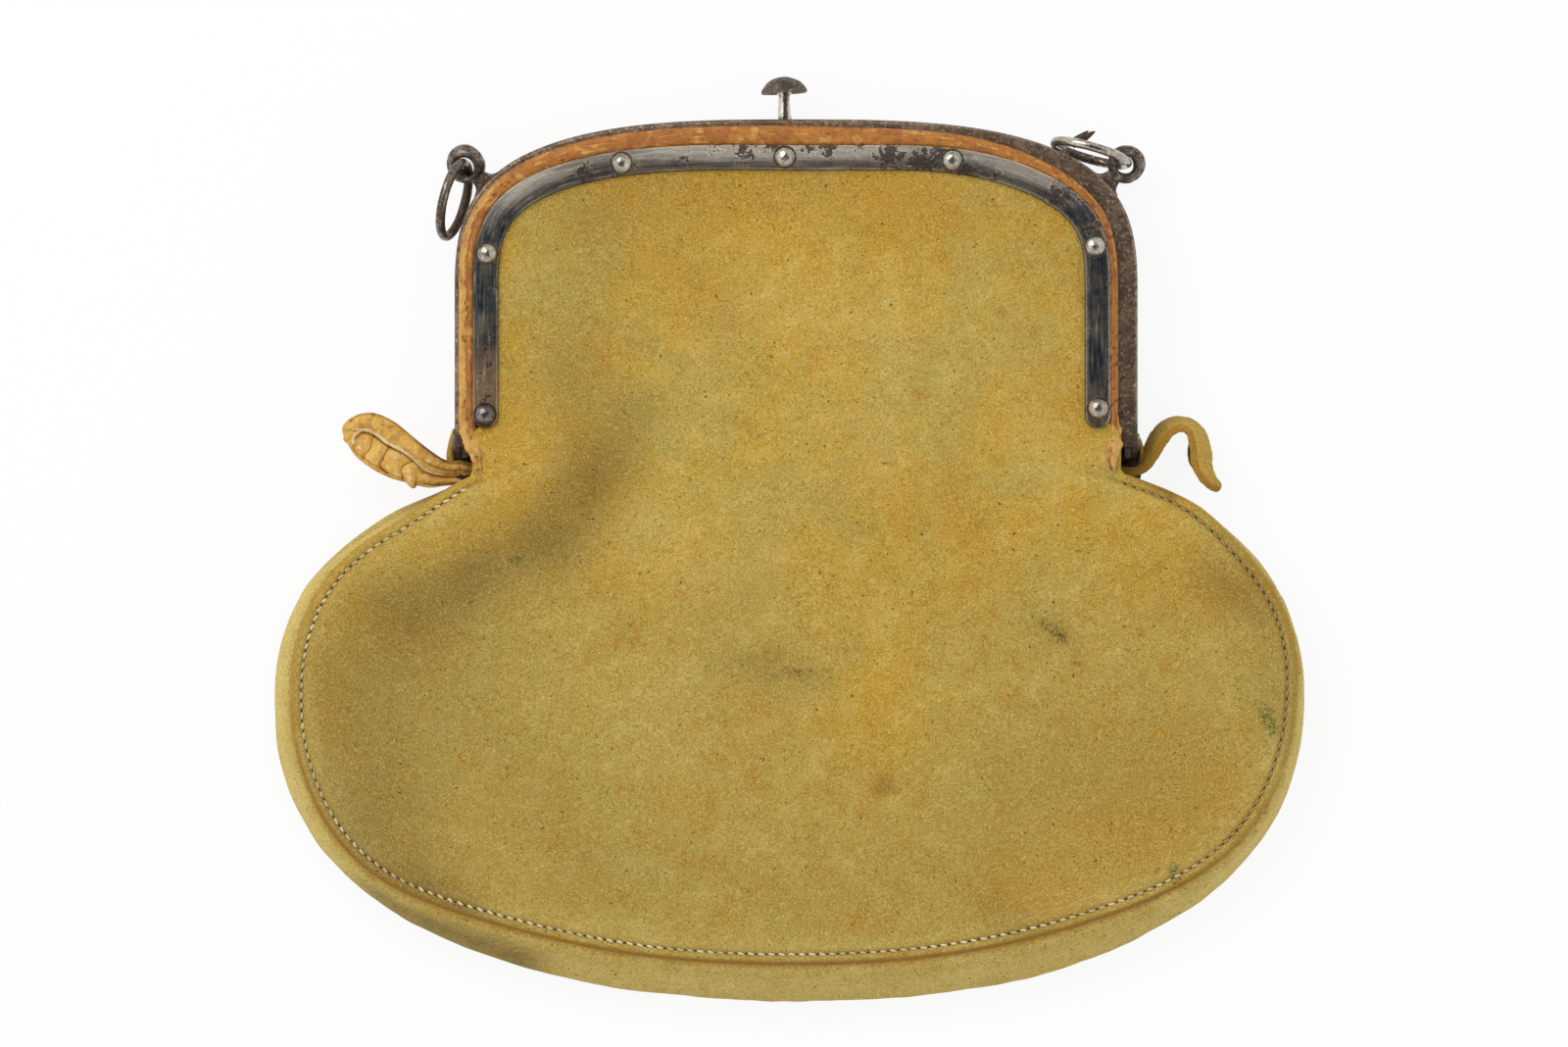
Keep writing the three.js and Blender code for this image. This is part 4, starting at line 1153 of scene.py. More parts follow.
@dataclass
class FrameHalf(Assembly):
    """One half of the hinged frame: an L-section bow, its clamping band, rivets and piping."""

    half: Half
    body: str
    front_face: float = 17.9
    rear_face: float = 4.6
    sheet: float = 1.5
    flange: float = 13.6
    leg_tail: float = 1.0
    rim_round: float = 1.0
    ear_radius: float = 3.8
    ear_clearance: float = 4.1
    hinge_z: float = 12.6
    band_insets: LeftToRight = (4.8, 6.2, 7.2)
    band_lift: float = 1.3
    band_widths: LeftToRight = (6.3, 6.2, 6.3)
    band_sheet: float = 1.2
    band_foot: float = 3.75
    # Width of the band's dark skirt: a painted shadow line along its foot, with some grime.
    grime: float = 0.18
    piping_widths: LeftToRight = (4.5, 5.9, 2.9)
    piping_tuck: float = 0.7
    crown_rise: float = 0.65
    piping_height: float = 2.6
    fray_foot: float = -6.8
    left_fray: tuple[Point, ...] = (
        (-6.8, 6.2, 1.4), (-2.5, 5.2, 3.4), (0.0, 4.3, 4.6), (3.0, 3.6, 4.9), (8.0, 3.2, 4.5),
    )
    right_fray: tuple[Point, ...] = (
        (-6.8, 6.4, 1.2), (-2.5, 6.3, 3.4), (0.0, 6.2, 4.2), (3.0, 6.1, 4.4), (8.0, 5.9, 2.4),
    )
    wall_gap: float = 0.15
    piping_seat: float = 0.1
    band_seat: float = 1.8
    rivet_seat: float = 3.1
    rivet_radius: float = 2.7
    rivet_height: float = 1.6
    shank_radius: float = 0.9
    tail_radius: float = 1.5
    tail_height: float = 0.4
    band_rust: tuple[Streak, ...] = streaks(
        (3.4, 1, (-54, 68.5)), (3, 0.9, (-46, 70)), (2.6, 0.8, (-41, 71)), (2.6, 0.9, (-73.5, 57)),
        (3.4, 0.7, (-77.4, 48.6)), (2, 0.8, (-76.9, 40)), (3, 0.8, (-29, 72)), (3, 0.8, (-21, 75)),
        (4.5, 0.95, (-13, 74.5)), (4, 0.9, (-5, 75.5)), (3.5, 0.8, (3, 75.5)), (3.5, 0.95, (8, 75)),
        (3, 0.8, (16, 75.5)), (5, 1.1, (24, 73)), (5, 1.1, (32, 72)), (4, 0.9, (37, 73)),
        (4.4, 1.1, (43, 69)), (2.4, 0.9, (51, 68)), (4.4, 1, (67, 63)), (4, 0.8, (72, 59)),
        (4, 0.9, (76, 54)), (2.6, 1.6, (-80, 4.6)), (3, 0.5, (-74, 46)), (3, 0.8, (-79, 12)),
        (2.2, 0.9, (-80.5, 16)), (2, 0.9, (-78.5, 20)), (1.6, 0.9, (-78, 27)), (1.4, 0.9, (-79.5, 23.5)),
        (3, 0.6, (78, 40)), (3.4, 0.5, (78, 11)),
    )

    @property
    def word(self) -> str:
        """The half's name, as the solids' names begin."""
        return self.half.name.lower()

    @property
    def up(self) -> int:
        """1 where the half faces up from the table, and -1 where it faces down."""
        return self.half.value

    @property
    def face_z(self) -> float:
        """The height of the bow's face."""
        return self.front_face if self.half is Half.FRONT else self.rear_face

    def level(self, rise: Any) -> Any:
        """A height that lies this far out from the bow's face."""
        return self.face_z + self.up * rise

    def part_way(self, x: Array, sizes: LeftToRight) -> Array:
        """A size that changes from the left leg over the crown to the right leg."""
        return np.interp(x / ARCH.half_width, (-1.0, 0.0, 1.0), sizes)

    def band_inset(self, x: Array) -> Array:
        """How far in the band begins, which is less on the right of the crown."""
        return self.part_way(x, self.band_insets) - self.band_lift * bell(x / ARCH.half_width - 0.5, 0.28)

    def bow(self) -> Skin:
        """The bow's arch and the ears at its feet."""
        line = ARCH.even(-self.leg_tail, 300)
        turn = np.linspace(0, np.pi / 2, 7)
        rim_in = self.rim_round * (1 - np.sin(turn))
        rim_up = self.face_z - self.up * self.rim_round * (1 - np.cos(turn))
        inside_z = self.face_z - self.up * self.sheet
        wall_end = np.full(len(line.x), self.hinge_z + self.up * self.wall_gap)
        if self.half is Half.FRONT:
            notch = self.hinge_z + np.sqrt(np.clip(self.ear_clearance**2 - line.y**2, 0, None))
            wall_end = np.maximum(wall_end, np.where(line.y < self.ear_clearance, notch, 0))
        back = [0, self.sheet, self.sheet, self.flange]
        inset = np.concatenate([[self.flange, self.flange / 2, 3.0], rim_in, back])
        height = np.empty((len(line.x), len(inset)))
        height[:, :3] = self.face_z
        height[:, 3:10] = rim_up
        height[:, 10:12] = wall_end[:, None]
        height[:, 12:] = inside_z
        outer = np.concatenate([[0, 0, 0], np.ones(9), [0, 0]])
        grid = line.sections(inset - self.crown_rise * smooth(line.y, 48, 74)[:, None] * outer, height)
        # Painted highlight on the rounded rim, stronger towards the right.
        shine = np.zeros(grid.shape[:2])
        shine[:, 3:10] = 0.45 * np.sin(2 * turn)
        shine *= 0.5 + 0.5 * smooth(grid[..., 0], -60, 60)
        rust = 0.35 + 0.2 * smooth(grid[..., 0], -20, 60) + 0.5 * smooth(grid[..., 1], 12, 3)
        rust += 4.0 * smooth(grid[..., 1], 2.2, 0.6)
        arch = Skin.of_grid(grid, shine=shine, rust=rust * 0.6, along=line.run[:, None], across=inset)
        return Skin.joined([arch, *(self.ear(side) for side in Side)])

    def ear(self, side: Side) -> Skin:
        """The flat ear round a hinge pin.

        Args:
            side: the pin's side.

        Returns:
            The ear.
        """
        inner = ARCH.half_width - self.sheet
        root = 0.0
        if self.half is Half.FRONT:
            inner -= self.sheet + 0.3
            root = self.face_z - self.hinge_z - self.sheet / 2
        low = np.linspace(np.pi, 2 * np.pi, 17)
        high = np.linspace(0, np.pi, 17)[1:-1]
        radius = self.ear_radius
        y = radius * np.cos(np.concatenate([low, high]))
        z = radius * np.sin(np.concatenate([low, high]))
        if root > 0:
            y = np.concatenate([radius * np.cos(low), [radius, -radius]])
            z = np.concatenate([radius * np.sin(low), [root, root]])
        faces = [points_of(side.value * x, y, self.hinge_z + z) for x in (inner, inner + self.sheet)]
        return Skin.of_grid(np.stack(faces), rust=3.0)

    def band(self) -> Skin:
        """The clamping strip, with round ends, bevelled edges with a painted highlight, and a dark skirt at
        its foot that is painted shadow with some grime.
        """
        half = self.band_widths[1] / 2
        line = ARCH.line(self.band_foot)
        total = line.run[-1]
        rounding = half * (1 - np.cos(np.linspace(0.06, np.pi / 2, 10)))
        runs = np.concatenate([rounding, np.linspace(half, total - half, 240)[1:-1], total - rounding[::-1]])
        stations = line.at(runs)
        end_share = np.clip(np.minimum(runs, total - runs) / half, 0, 1)
        full = self.part_way(stations.x, self.band_widths) / 2
        width = full * np.sqrt(1 - (1 - end_share) ** 2)
        bevel = np.minimum(0.32, width * 0.4)[:, None]
        width = width[:, None]
        flat = width - bevel
        middle = (self.band_inset(stations.x) + full)[:, None]
        skirt = width + np.minimum(self.grime, width * 0.3)
        inner_side = [skirt, skirt, width, width, flat, flat * 0.5]
        outer_side = [-flat * 0.5, -flat, -width, -width, -skirt]
        across = np.concatenate([-skirt, *inner_side, flat * 0, *outer_side], axis=1)
        top = self.band_sheet
        low = top - 0.32
        lift = np.array([0, 0, 0.1, 0.35, low, top, top + 0.05, top + 0.07, top + 0.05, top, low, 0.35, 0.1])
        grid = stations.sections(middle + across, self.level(self.band_seat + lift))
        x, y = grid[..., 0], grid[..., 1]
        edge = np.array([0, 0, 0, 0, 0.8, 0.9, 0, 0, 0, 0.9, 0.8, 0, 0])
        # The skirt rows are painted near black with rust: a painted shadow line where the band meets the
        # hide, with some grime.
        dark = np.array([2, 2, 2, 2, 0, 0, 0, 0, 0, 0, 0, 2, 2])
        crown = smooth(y, 55, 72)
        # Brighter bare steel over the crown, at two corners and on the outer side: partly worn steel, partly
        # a painted reflection.
        silver = 0.78 * crown * smooth(np.abs(x + 4), 72, 8) + 0.6 * bell(np.hypot(x - 58, y - 65), 16)
        silver += 0.65 * bell(np.hypot(x + 67, y - 61), 13)
        silver *= 0.55 + smooth(across, 1.4, -1.2)
        brown = 1.3 * smooth(y, 30, 12) * smooth(x, 0, -40) + 0.3 * crown
        brown += 0.35 * smooth(y, 18, 6) * smooth(x, 0, 40)
        # Painted highlight along the two bevels, stronger towards the right.
        shine = edge * (0.42 + 0.16 * smooth(x, 10, 80))
        rust = np.maximum(strongest(self.band_rust, x, y), dark)
        lay = {"along": runs[:, None], "across": across}
        return Skin.of_grid(grid, shine=shine, rust=rust, silver=silver, brown=brown, **lay)

    def piping(self) -> Skin:
        """The rolled leather between band and rim, which frays at its two ends."""
        line = ARCH.even(self.fray_foot, 520)
        on_left = line.x < 0
        width = self.part_way(line.x, self.piping_widths)
        middle = self.band_inset(line.x) + self.piping_tuck - width / 2
        frayed = smooth(line.y, 8.0, 3.0)
        heights = [pair[0] for pair in self.left_fray]
        for side, fray in ((on_left, self.left_fray), (~on_left, self.right_fray)):
            low_middle = np.interp(line.y, heights, [pair[1] for pair in fray])
            low_width = np.interp(line.y, heights, [pair[2] for pair in fray])
            middle = np.where(side, middle + frayed * (low_middle - middle), middle)
            width = np.where(side, width + frayed * (low_width - width), width)
        rows = points_of(line.x, line.y, 0)
        middle += frayed * 0.45 * wobble(rows, 1.3, 4.0)
        width *= 1 + 0.22 * frayed * wobble(rows, 1.0, 8.0)
        fray_rows = frayed[:, None]
        angle = np.linspace(0, np.pi, 17)
        arch = np.sin(angle)
        aside = np.cos(angle)
        inset = middle[:, None] + width[:, None] / 2 * aside
        height = self.piping_height * (1 - 0.45 * frayed)
        stray = (0.3 * wobble(rows, 3.4, 21.0) + 0.22 * wobble(rows, 1.1, 5.0))[:, None]
        groove = 0.45 * bell(aside + 0.05 + stray, 0.14) * smooth(line.x, -60, -84)[:, None]
        lift = height[:, None] * arch**0.7 - groove * arch
        lift += (1.5 * smooth(line.y, 3.0, -3.0))[:, None]
        grid = line.sections(inset, self.level(self.piping_seat + lift))
        nicks = wobble(grid * (1.0, 1.0, 0.4), 0.9, 14.0)
        swell = 0.12 * wobble(grid, 3.0, 3.0) - 0.16 * smooth(nicks, 0.3, 0.5)
        shred = (0.55 * wobble(grid, 1.5, 9.0) + 0.35 * wobble(grid, 0.7, 2.0)) * fray_rows
        grid[..., 2] += self.up * (swell + shred) * arch
        grid[..., 1] += 1.6 * smooth(line.y, 0.5, -5.5)[:, None] * wobble(grid, 0.9, 5.0)
        outer = smooth(aside + stray, 0.0, -0.25)
        far_left = smooth(line.x, -70, -84)[:, None]
        far_right = smooth(line.x, 60, 84)[:, None]
        # Pale: painted light on the roll's outer half on the left, on raised shreds and along a ridge on the
        # right; pale wear at the frayed ends and in patches.
        pale = 0.66 * outer * far_left + 0.55 * fray_rows * smooth(shred, -0.1, 0.3)
        pale += 0.6 * far_right * bell(aside + 0.72, 0.16) + 0.08
        pale += 0.7 * smooth(line.y, 4.5, 0.5)[:, None]
        pale += 0.55 * smooth(wobble(grid, 2.4, 17.0), 0.22, 0.42) * (1 - far_right)
        # Crease: painted shade along the roll's two long edges, in its middle groove on the left and in the
        # low places of the frayed ends; darker along the right length, and dark nicks.
        crease = 0.36 * far_right + 0.8 * bell(aside - 1, 0.18) + 0.6 * bell(aside + 1, 0.12)
        crease += 0.5 * far_left * bell(aside + 0.05 + stray, 0.12)
        crease += 0.55 * smooth(nicks, 0.28, 0.46)
        crease = crease * (1 - 0.6 * fray_rows) + 0.75 * fray_rows * smooth(shred, -0.05, -0.4)
        lay = {"along": line.run[:, None], "across": inset}
        return Skin.of_grid(grid, pale=np.clip(pale, 0, 1), crease=np.clip(crease, 0, 1), **lay)

    def rivet(self, name: str, bench: Bench) -> Skin:
        """One domed rivet with its shank and closed tail, on the middle of the band by its solid.

        Args:
            name: where it is, as its solid's name ends.
            bench: knows where the solids are.

        Returns:
            The rivet.
        """
        node = f"{self.word}_rivet_{name}"
        solid = bench.middle(node)
        solid[:2] += RIVET_SHIFTS[name]
        line = ARCH.line(0.0)
        near = int(np.argmin(np.hypot(line.x - solid[0], line.y - solid[1])))
        inset = self.band_inset(line.x[near]) + self.part_way(line.x[near], self.band_widths) / 2
        place = (line.x[near] - inset * line.out_x[near], line.y[near] - inset * line.out_y[near])
        low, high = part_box(node)
        length = (high.z - low.z) / MM - self.rivet_height
        ball = (self.rivet_radius**2 + self.rivet_height**2) / (2 * self.rivet_height)
        reach = math.asin(self.rivet_radius / ball)
        dome = [
            (ball * math.sin(turn), self.rivet_height - ball * (1 - math.cos(turn)))
            for turn in np.linspace(reach, 0.08, 12)
        ]
        closed = self.tail_height - length
        wide, narrow = self.tail_radius, self.shank_radius
        tail = [(wide, -length), (wide, closed), (narrow, closed), (narrow, 0.0)]
        seat = [(self.rivet_radius + 0.32, -0.02), (self.rivet_radius + 0.1, 0.14)]
        profile = [*tail, *seat, *dome]
        origin = (*place, self.level(self.rivet_seat))
        grid = turned(profile, 40, origin, (0, 0, self.up))
        dents = 0.1 * wobble(grid, 1.5, solid[0]) + 0.05 * wobble(grid, 0.7, solid[1])
        dents[: len(tail)] = 0.0
        grid[..., 2] = np.maximum(grid[..., 2] + self.up * dents, 0.0)
        rust = np.zeros(len(profile))
        rust[len(tail) : len(tail) + 3] = (3.0, 3.0, 0.9)
        return Skin.of_grid(grid, rust=rust[:, None])

    def dress(self, bench: Bench) -> None:
        """Makes the half's pieces."""
        word = self.word
        ride = HINGE_BLEND if self.half is Half.FRONT else self.body
        bow, band, roll = ([f"{word}_{solid}"] for solid in ("bow", "band", "piping"))
        bench.lay(f"{word}_bow_steel", self.bow(), RIM_STEEL, self.body, "steel", bow, 35)
        bench.lay(f"{word}_clamping_band", self.band(), BAND_STEEL, self.body, "blued_steel", band, 30)
        bench.lay(f"{word}_rolled_piping", self.piping(), PIPING_HIDE, ride, "piping_leather", roll, 80)
        for name in RIVET_SHIFTS:
            dark = self.half is Half.FRONT and name == "left_foot"
            finish = DARK_RIVET_STEEL if dark else BRIGHT_STEEL
            node = f"{word}_rivet_{name}"
            bench.lay(f"{node}_dome", self.rivet(name, bench), finish, self.body, "bright_steel", [node], 40)


# The push button


@dataclass
class PushButton(Assembly):
    """The mushroom knob on the crown and the stem that it presses."""

    x: float = -1.5
    z: float = 9.87
    rim_y: float = 82.0
    stem_shown: float = 7.5
    lean: float = 1.55
    tilt: float = 3.0
    sides: int = 64
    coils: int = 4
    coil_wire: float = 0.3
    cap_profile: Profile = (
        (0.3, 0.9), (2.2, 0.8), (3.9, 0.45), (5.2, 0.1), (5.65, 0.0), (5.9, 0.22), (5.84, 0.7),
        (5.5, 1.4), (5.0, 2.1), (4.35, 2.8), (3.5, 3.4), (2.45, 3.85), (1.3, 4.15), (0.35, 4.22),
    )
    stem_waist: Profile = (
        (1.4, 75.2), (2.1, 75.2), (2.1, 76.0), (1.0, 76.1),
        (1.0, 79.3), (2.1, 79.4), (2.1, 80.2), (1.8, 80.25),
    )

    def cap(self) -> Skin:
        """The forged cap, a little uneven all over."""
        seat = self.rim_y + self.stem_shown + 0.1
        profile = [(radius, seat + rise) for radius, rise in self.cap_profile]
        middle = np.array((self.x - self.lean, 0.0, self.z))
        tilt = math.radians(self.tilt)
        axis = np.array((-math.sin(tilt), math.cos(tilt), 0.0))
        grid = turned(profile, self.sides, middle + (0.0, seat, 0.0) - axis * seat, axis)
        rough = np.clip((np.arange(len(profile)) - 4) / 3, 0, 1)[:, None]
        out = unit(grid - middle - (0.0, seat - 1.0, 0.0))
        dents = 0.16 * wobble(grid, 2.6, 4.0) + 0.08 * wobble(grid, 1.0, 8.0)
        grid += (dents * rough)[..., None] * out
        # Painted highlight on the rim of the cap.
        shine = np.zeros(len(profile))
        shine[4:6] = 0.5
        return Skin.of_grid(grid, shine=shine[:, None])

    def stem(self, bench: Bench) -> Skin:
        """The polished stem, waisted inside the frame for the catch, with a painted highlight and a painted
        dark reflection along it.

        Args:
            bench: knows where the hinge is.

        Returns:
            The stem.
        """
        top = self.rim_y + self.stem_shown
        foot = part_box("button_stem")[0].y / MM - bench.hinge_y / MM
        rim = self.rim_y
        shown = [(1.8, rim), (1.85, rim + 0.6), (1.65, rim + 2.6), (1.48, top - 2.0), (1.5, top - 0.6)]
        profile = [(1.4, foot), *self.stem_waist, *shown, (1.85, top), (1.85, top + 0.9)]
        grid = turned(profile, 32, (self.x, 0, self.z), (0, 1, 0))
        grid[..., 0] -= self.lean * smooth(grid[..., 1], 80.0, rim + 1.5)
        # A dark stripe along the stem's upper side is a painted reflection of the dim overhead: it is laid on
        # as rust and takes away the painted highlight that covers the rest of the stem.
        streak = bell(grid[..., 0] - self.x + self.lean - 0.35, 0.55) * (grid[..., 2] > self.z)
        rust = 0.4 * smooth(grid[..., 1], rim + 3.0, rim + 0.5) + 1.1 * streak
        return Skin.of_grid(grid, shine=0.8 - streak, rust=rust)

    def spring(self, bench: Bench) -> tuple[Skin, float, float]:
        """The coil under the stem's seat.

        Args:
            bench: knows where the frame's solids are.

        Returns:
            The coil, and the heights of its still end and of the end that follows the stem.
        """
        low, high = (np.array(end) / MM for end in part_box("button_spring"))
        foot = low[1] - bench.hinge_y / MM + self.coil_wire
        top = high[1] - bench.hinge_y / MM - self.coil_wire
        share = np.linspace(0, 1, 40 * self.coils)
        turn = 2 * np.pi * self.coils * share
        reach = (high[0] - low[0]) / 2 - self.coil_wire
        rise = foot + (top - foot) * share
        path = points_of(self.x + reach * np.cos(turn), rise, self.z + reach * np.sin(turn))
        return Skin.of_grid(tube(path, self.coil_wire, 10)), foot, top

    def dress(self, bench: Bench) -> None:
        """Makes the button's pieces."""
        bench.lay("button_forged_cap", self.cap(), DARK_IRON, "push_button", "steel", ["button_cap"], 60)
        stem = self.stem(bench)
        bench.lay("button_polished_stem", stem, STEM_STEEL, "push_button", "bright_steel", ["button_stem"])
        coil, foot, top = self.spring(bench)
        between = ("bag", "push_button", foot, top)
        bench.lay("button_coil_spring", coil, STEM_STEEL, between, "bright_steel", ["button_spring"])


# The strap fittings


@dataclass
class StrapFitting(Assembly):
    """An eyelet on the frame's shoulder and the ring that hangs in it."""

    side: Side
    lean: float
    ring_finish: SteelFinish
    ring_slot: str
    eye_tilt: float
    eye_radius: float
    swing: float = 119.5
    bearing: float = 19.5
    z: float = 8.6
    eye_reach: float = 7.8
    eye_wire: float = 1.4
    eye_depth: float = 1.6
    ring_radius: float = 9.7
    ring_wire: float = 1.2
    collar: Profile = (
        (1.8, -2.5), (1.8, -2.1), (1.2, -2.1), (1.2, 0.1), (4.3, 0.1), (4.45, 0.45), (4.2, 0.8),
        (3.5, 1.05), (2.9, 1.5), (2.45, 2.2), (2.2, 3.0), (2.15, 3.7), (2.2, 4.5),
    )
    leaves: Rows = ((1.05, 6.9, 1.2, 30.0), (0.93, 6.3, 0.8, 34.0))

    def root(self) -> tuple[Array, Array]:
        """Where the eyelet stands on the rim, and the way that it points."""
        bearing = math.radians(self.bearing)
        angle = bearing if self.side is Side.RIGHT else math.pi - bearing
        x, y, out_x, out_y = ARCH.crown_at(np.array([angle]))
        return np.array([x[0], y[0], self.z]), np.array([out_x[0], out_y[0], 0.0])

    def eyelet(self) -> Skin:
        """The flared collar, its neck and the eye."""
        place, out = self.root()
        neck = turned(self.collar, 40, place, out, 0.8)
        neck += 0.1 * wobble(neck, 1.4, 3.0)[..., None] * out
        # A little painted highlight all over the collar and neck.
        post = Skin.of_grid(neck, rust=0.5, shine=0.25)
        angle = round_turn(72)
        tilt = math.radians(self.eye_tilt)
        across = np.cross(out, (0, 0, 1)) * math.cos(tilt) + np.array((0, 0, 1)) * math.sin(tilt)
        through = np.cross(out, across)
        middle = place + out * self.eye_reach
        path = middle + self.eye_radius * (np.cos(angle)[:, None] * out + np.sin(angle)[:, None] * across)
        thick = self.eye_wire * (1.0 + 0.12 * np.cos(angle) + 0.06 * np.sin(3 * angle))
        wire = tube(path, thick, 24, True)
        offset = wire - path[:, None]
        depth = (offset @ through)[..., None] * through
        wire += (self.eye_depth - 1) * depth
        wire += 0.06 * wobble(wire, 1.1, 6.0)[..., None] * unit(offset)
        eye = Skin.of_grid(wire, True, rust=0.4)
        return Skin.joined([post, eye])

    def ring_frame(self) -> tuple[Array, Array, Array]:
        """The ring's middle, and its two directions: away from the eye and upright."""
        place, out = self.root()
        eye = place + out * self.eye_reach
        bearing = math.atan2(out[1], out[0]) + math.radians(self.swing)
        lean = math.radians(self.lean)
        along = np.array([math.cos(bearing), math.sin(bearing), 0.0])
        across = np.array([-math.sin(bearing), math.cos(bearing), 0.0])
        upright = np.array([0.0, 0.0, math.cos(lean)]) + across * math.sin(lean)
        centre_z = self.ring_radius * math.cos(lean) + self.ring_wire + 0.1
        dip = math.asin((centre_z - self.z) / (self.ring_radius * math.cos(lean)))
        middle = eye + self.ring_radius * (math.cos(dip) * along + math.sin(dip) * upright)
        return middle, along, upright

    def ring(self) -> Skin:
        """The wire ring, worn thinner where it rubs in the eye."""
        middle, along, upright = self.ring_frame()
        angle = round_turn(112)
        path = middle + self.ring_radius * (np.cos(angle)[:, None] * along + np.sin(angle)[:, None] * upright)
        worn = bell(np.angle(np.exp(1j * (angle - np.pi))), 0.35)
        thick = self.ring_wire * (1 - 0.1 * worn - 0.02 * np.sin(5 * angle))
        grid = tube(path, thick, 20, True)
        grid += 0.05 * wobble(grid, 0.9, 7.0)[..., None] * unit(grid - path[:, None])
        rust = 0.75 * smooth(path[:, 2], 12, 4) + 0.25
        return Skin.of_grid(grid, True, rust=rust[:, None], silver=0.6 * worn[:, None])

    def remnant(self) -> Skin:
        """Two pointed leaves of a broken strap clip, caught under the ring's upper wire."""
        middle, along, upright = self.ring_frame()
        leaves = []
        for spot, length, width, bearing in self.leaves:
            wire = middle + self.ring_radius * (math.cos(spot) * along + math.sin(spot) * upright)
            way = math.radians(bearing)
            away = np.array((math.cos(way), math.sin(way), 0.0))
            side = np.cross(away, (0, 0, 1))
            share = np.linspace(0, 1, 18)
            path = wire + away * (share * length - 1.0)[:, None]
            path[:, 2] -= self.ring_wire + 0.35 - 0.5 * share
            half = width * np.sqrt(np.clip(1 - share**2.2, 0.01, 1)) * (0.75 + 0.25 * bell(share - 0.35, 0.4))
            turn = round_turn(10)
            grid = path[:, None] + (half[:, None] * np.cos(turn))[..., None] * side
            grid[..., 2] += 0.32 * np.sin(turn)
            leaves.append(Skin.of_grid(grid, rust=0.9))
        return Skin.joined(leaves)

    def dress(self, bench: Bench) -> None:
        """Makes the fitting's pieces."""
        word = self.side.word
        ring = f"{word}_ring"
        bench.lay(f"{word}_forged_eyelet", self.eyelet(), DULL_STEEL, "bag", "steel", [f"{word}_eyelet"], 60)
        bench.lay(f"{word}_strap_ring", self.ring(), self.ring_finish, ring, self.ring_slot, [ring])
        if self.side is Side.RIGHT:
            bench.lay("right_ring_clip_leaves", self.remnant(), RIM_STEEL, "right_ring", "steel", (), 30)


# The bag


@dataclass(frozen=True)
class Pull:
    """A place where the bag's edge is drawn in or pushed out."""

    x: float
    y: float
    size: float
    way: tuple[float, float]

    def at(self, x: Array, y: Array) -> Array:
        """How far it moves places, to the right and up."""
        return bell(np.hypot(x - self.x, y - self.y), self.size)[..., None] * np.array(self.way)


@dataclass(frozen=True)
class Swell:
    """A stretch of the gusset that stands out further, by its bearing from the bag's middle."""

    bearing: float
    spread: float
    amount: float

    def at(self, bearing: Array) -> Array:
        """How much further the gusset stands out at bearings."""
        apart = (bearing - self.bearing + 180.0) % 360.0 - 180.0
        return self.amount * bell(apart, self.spread)


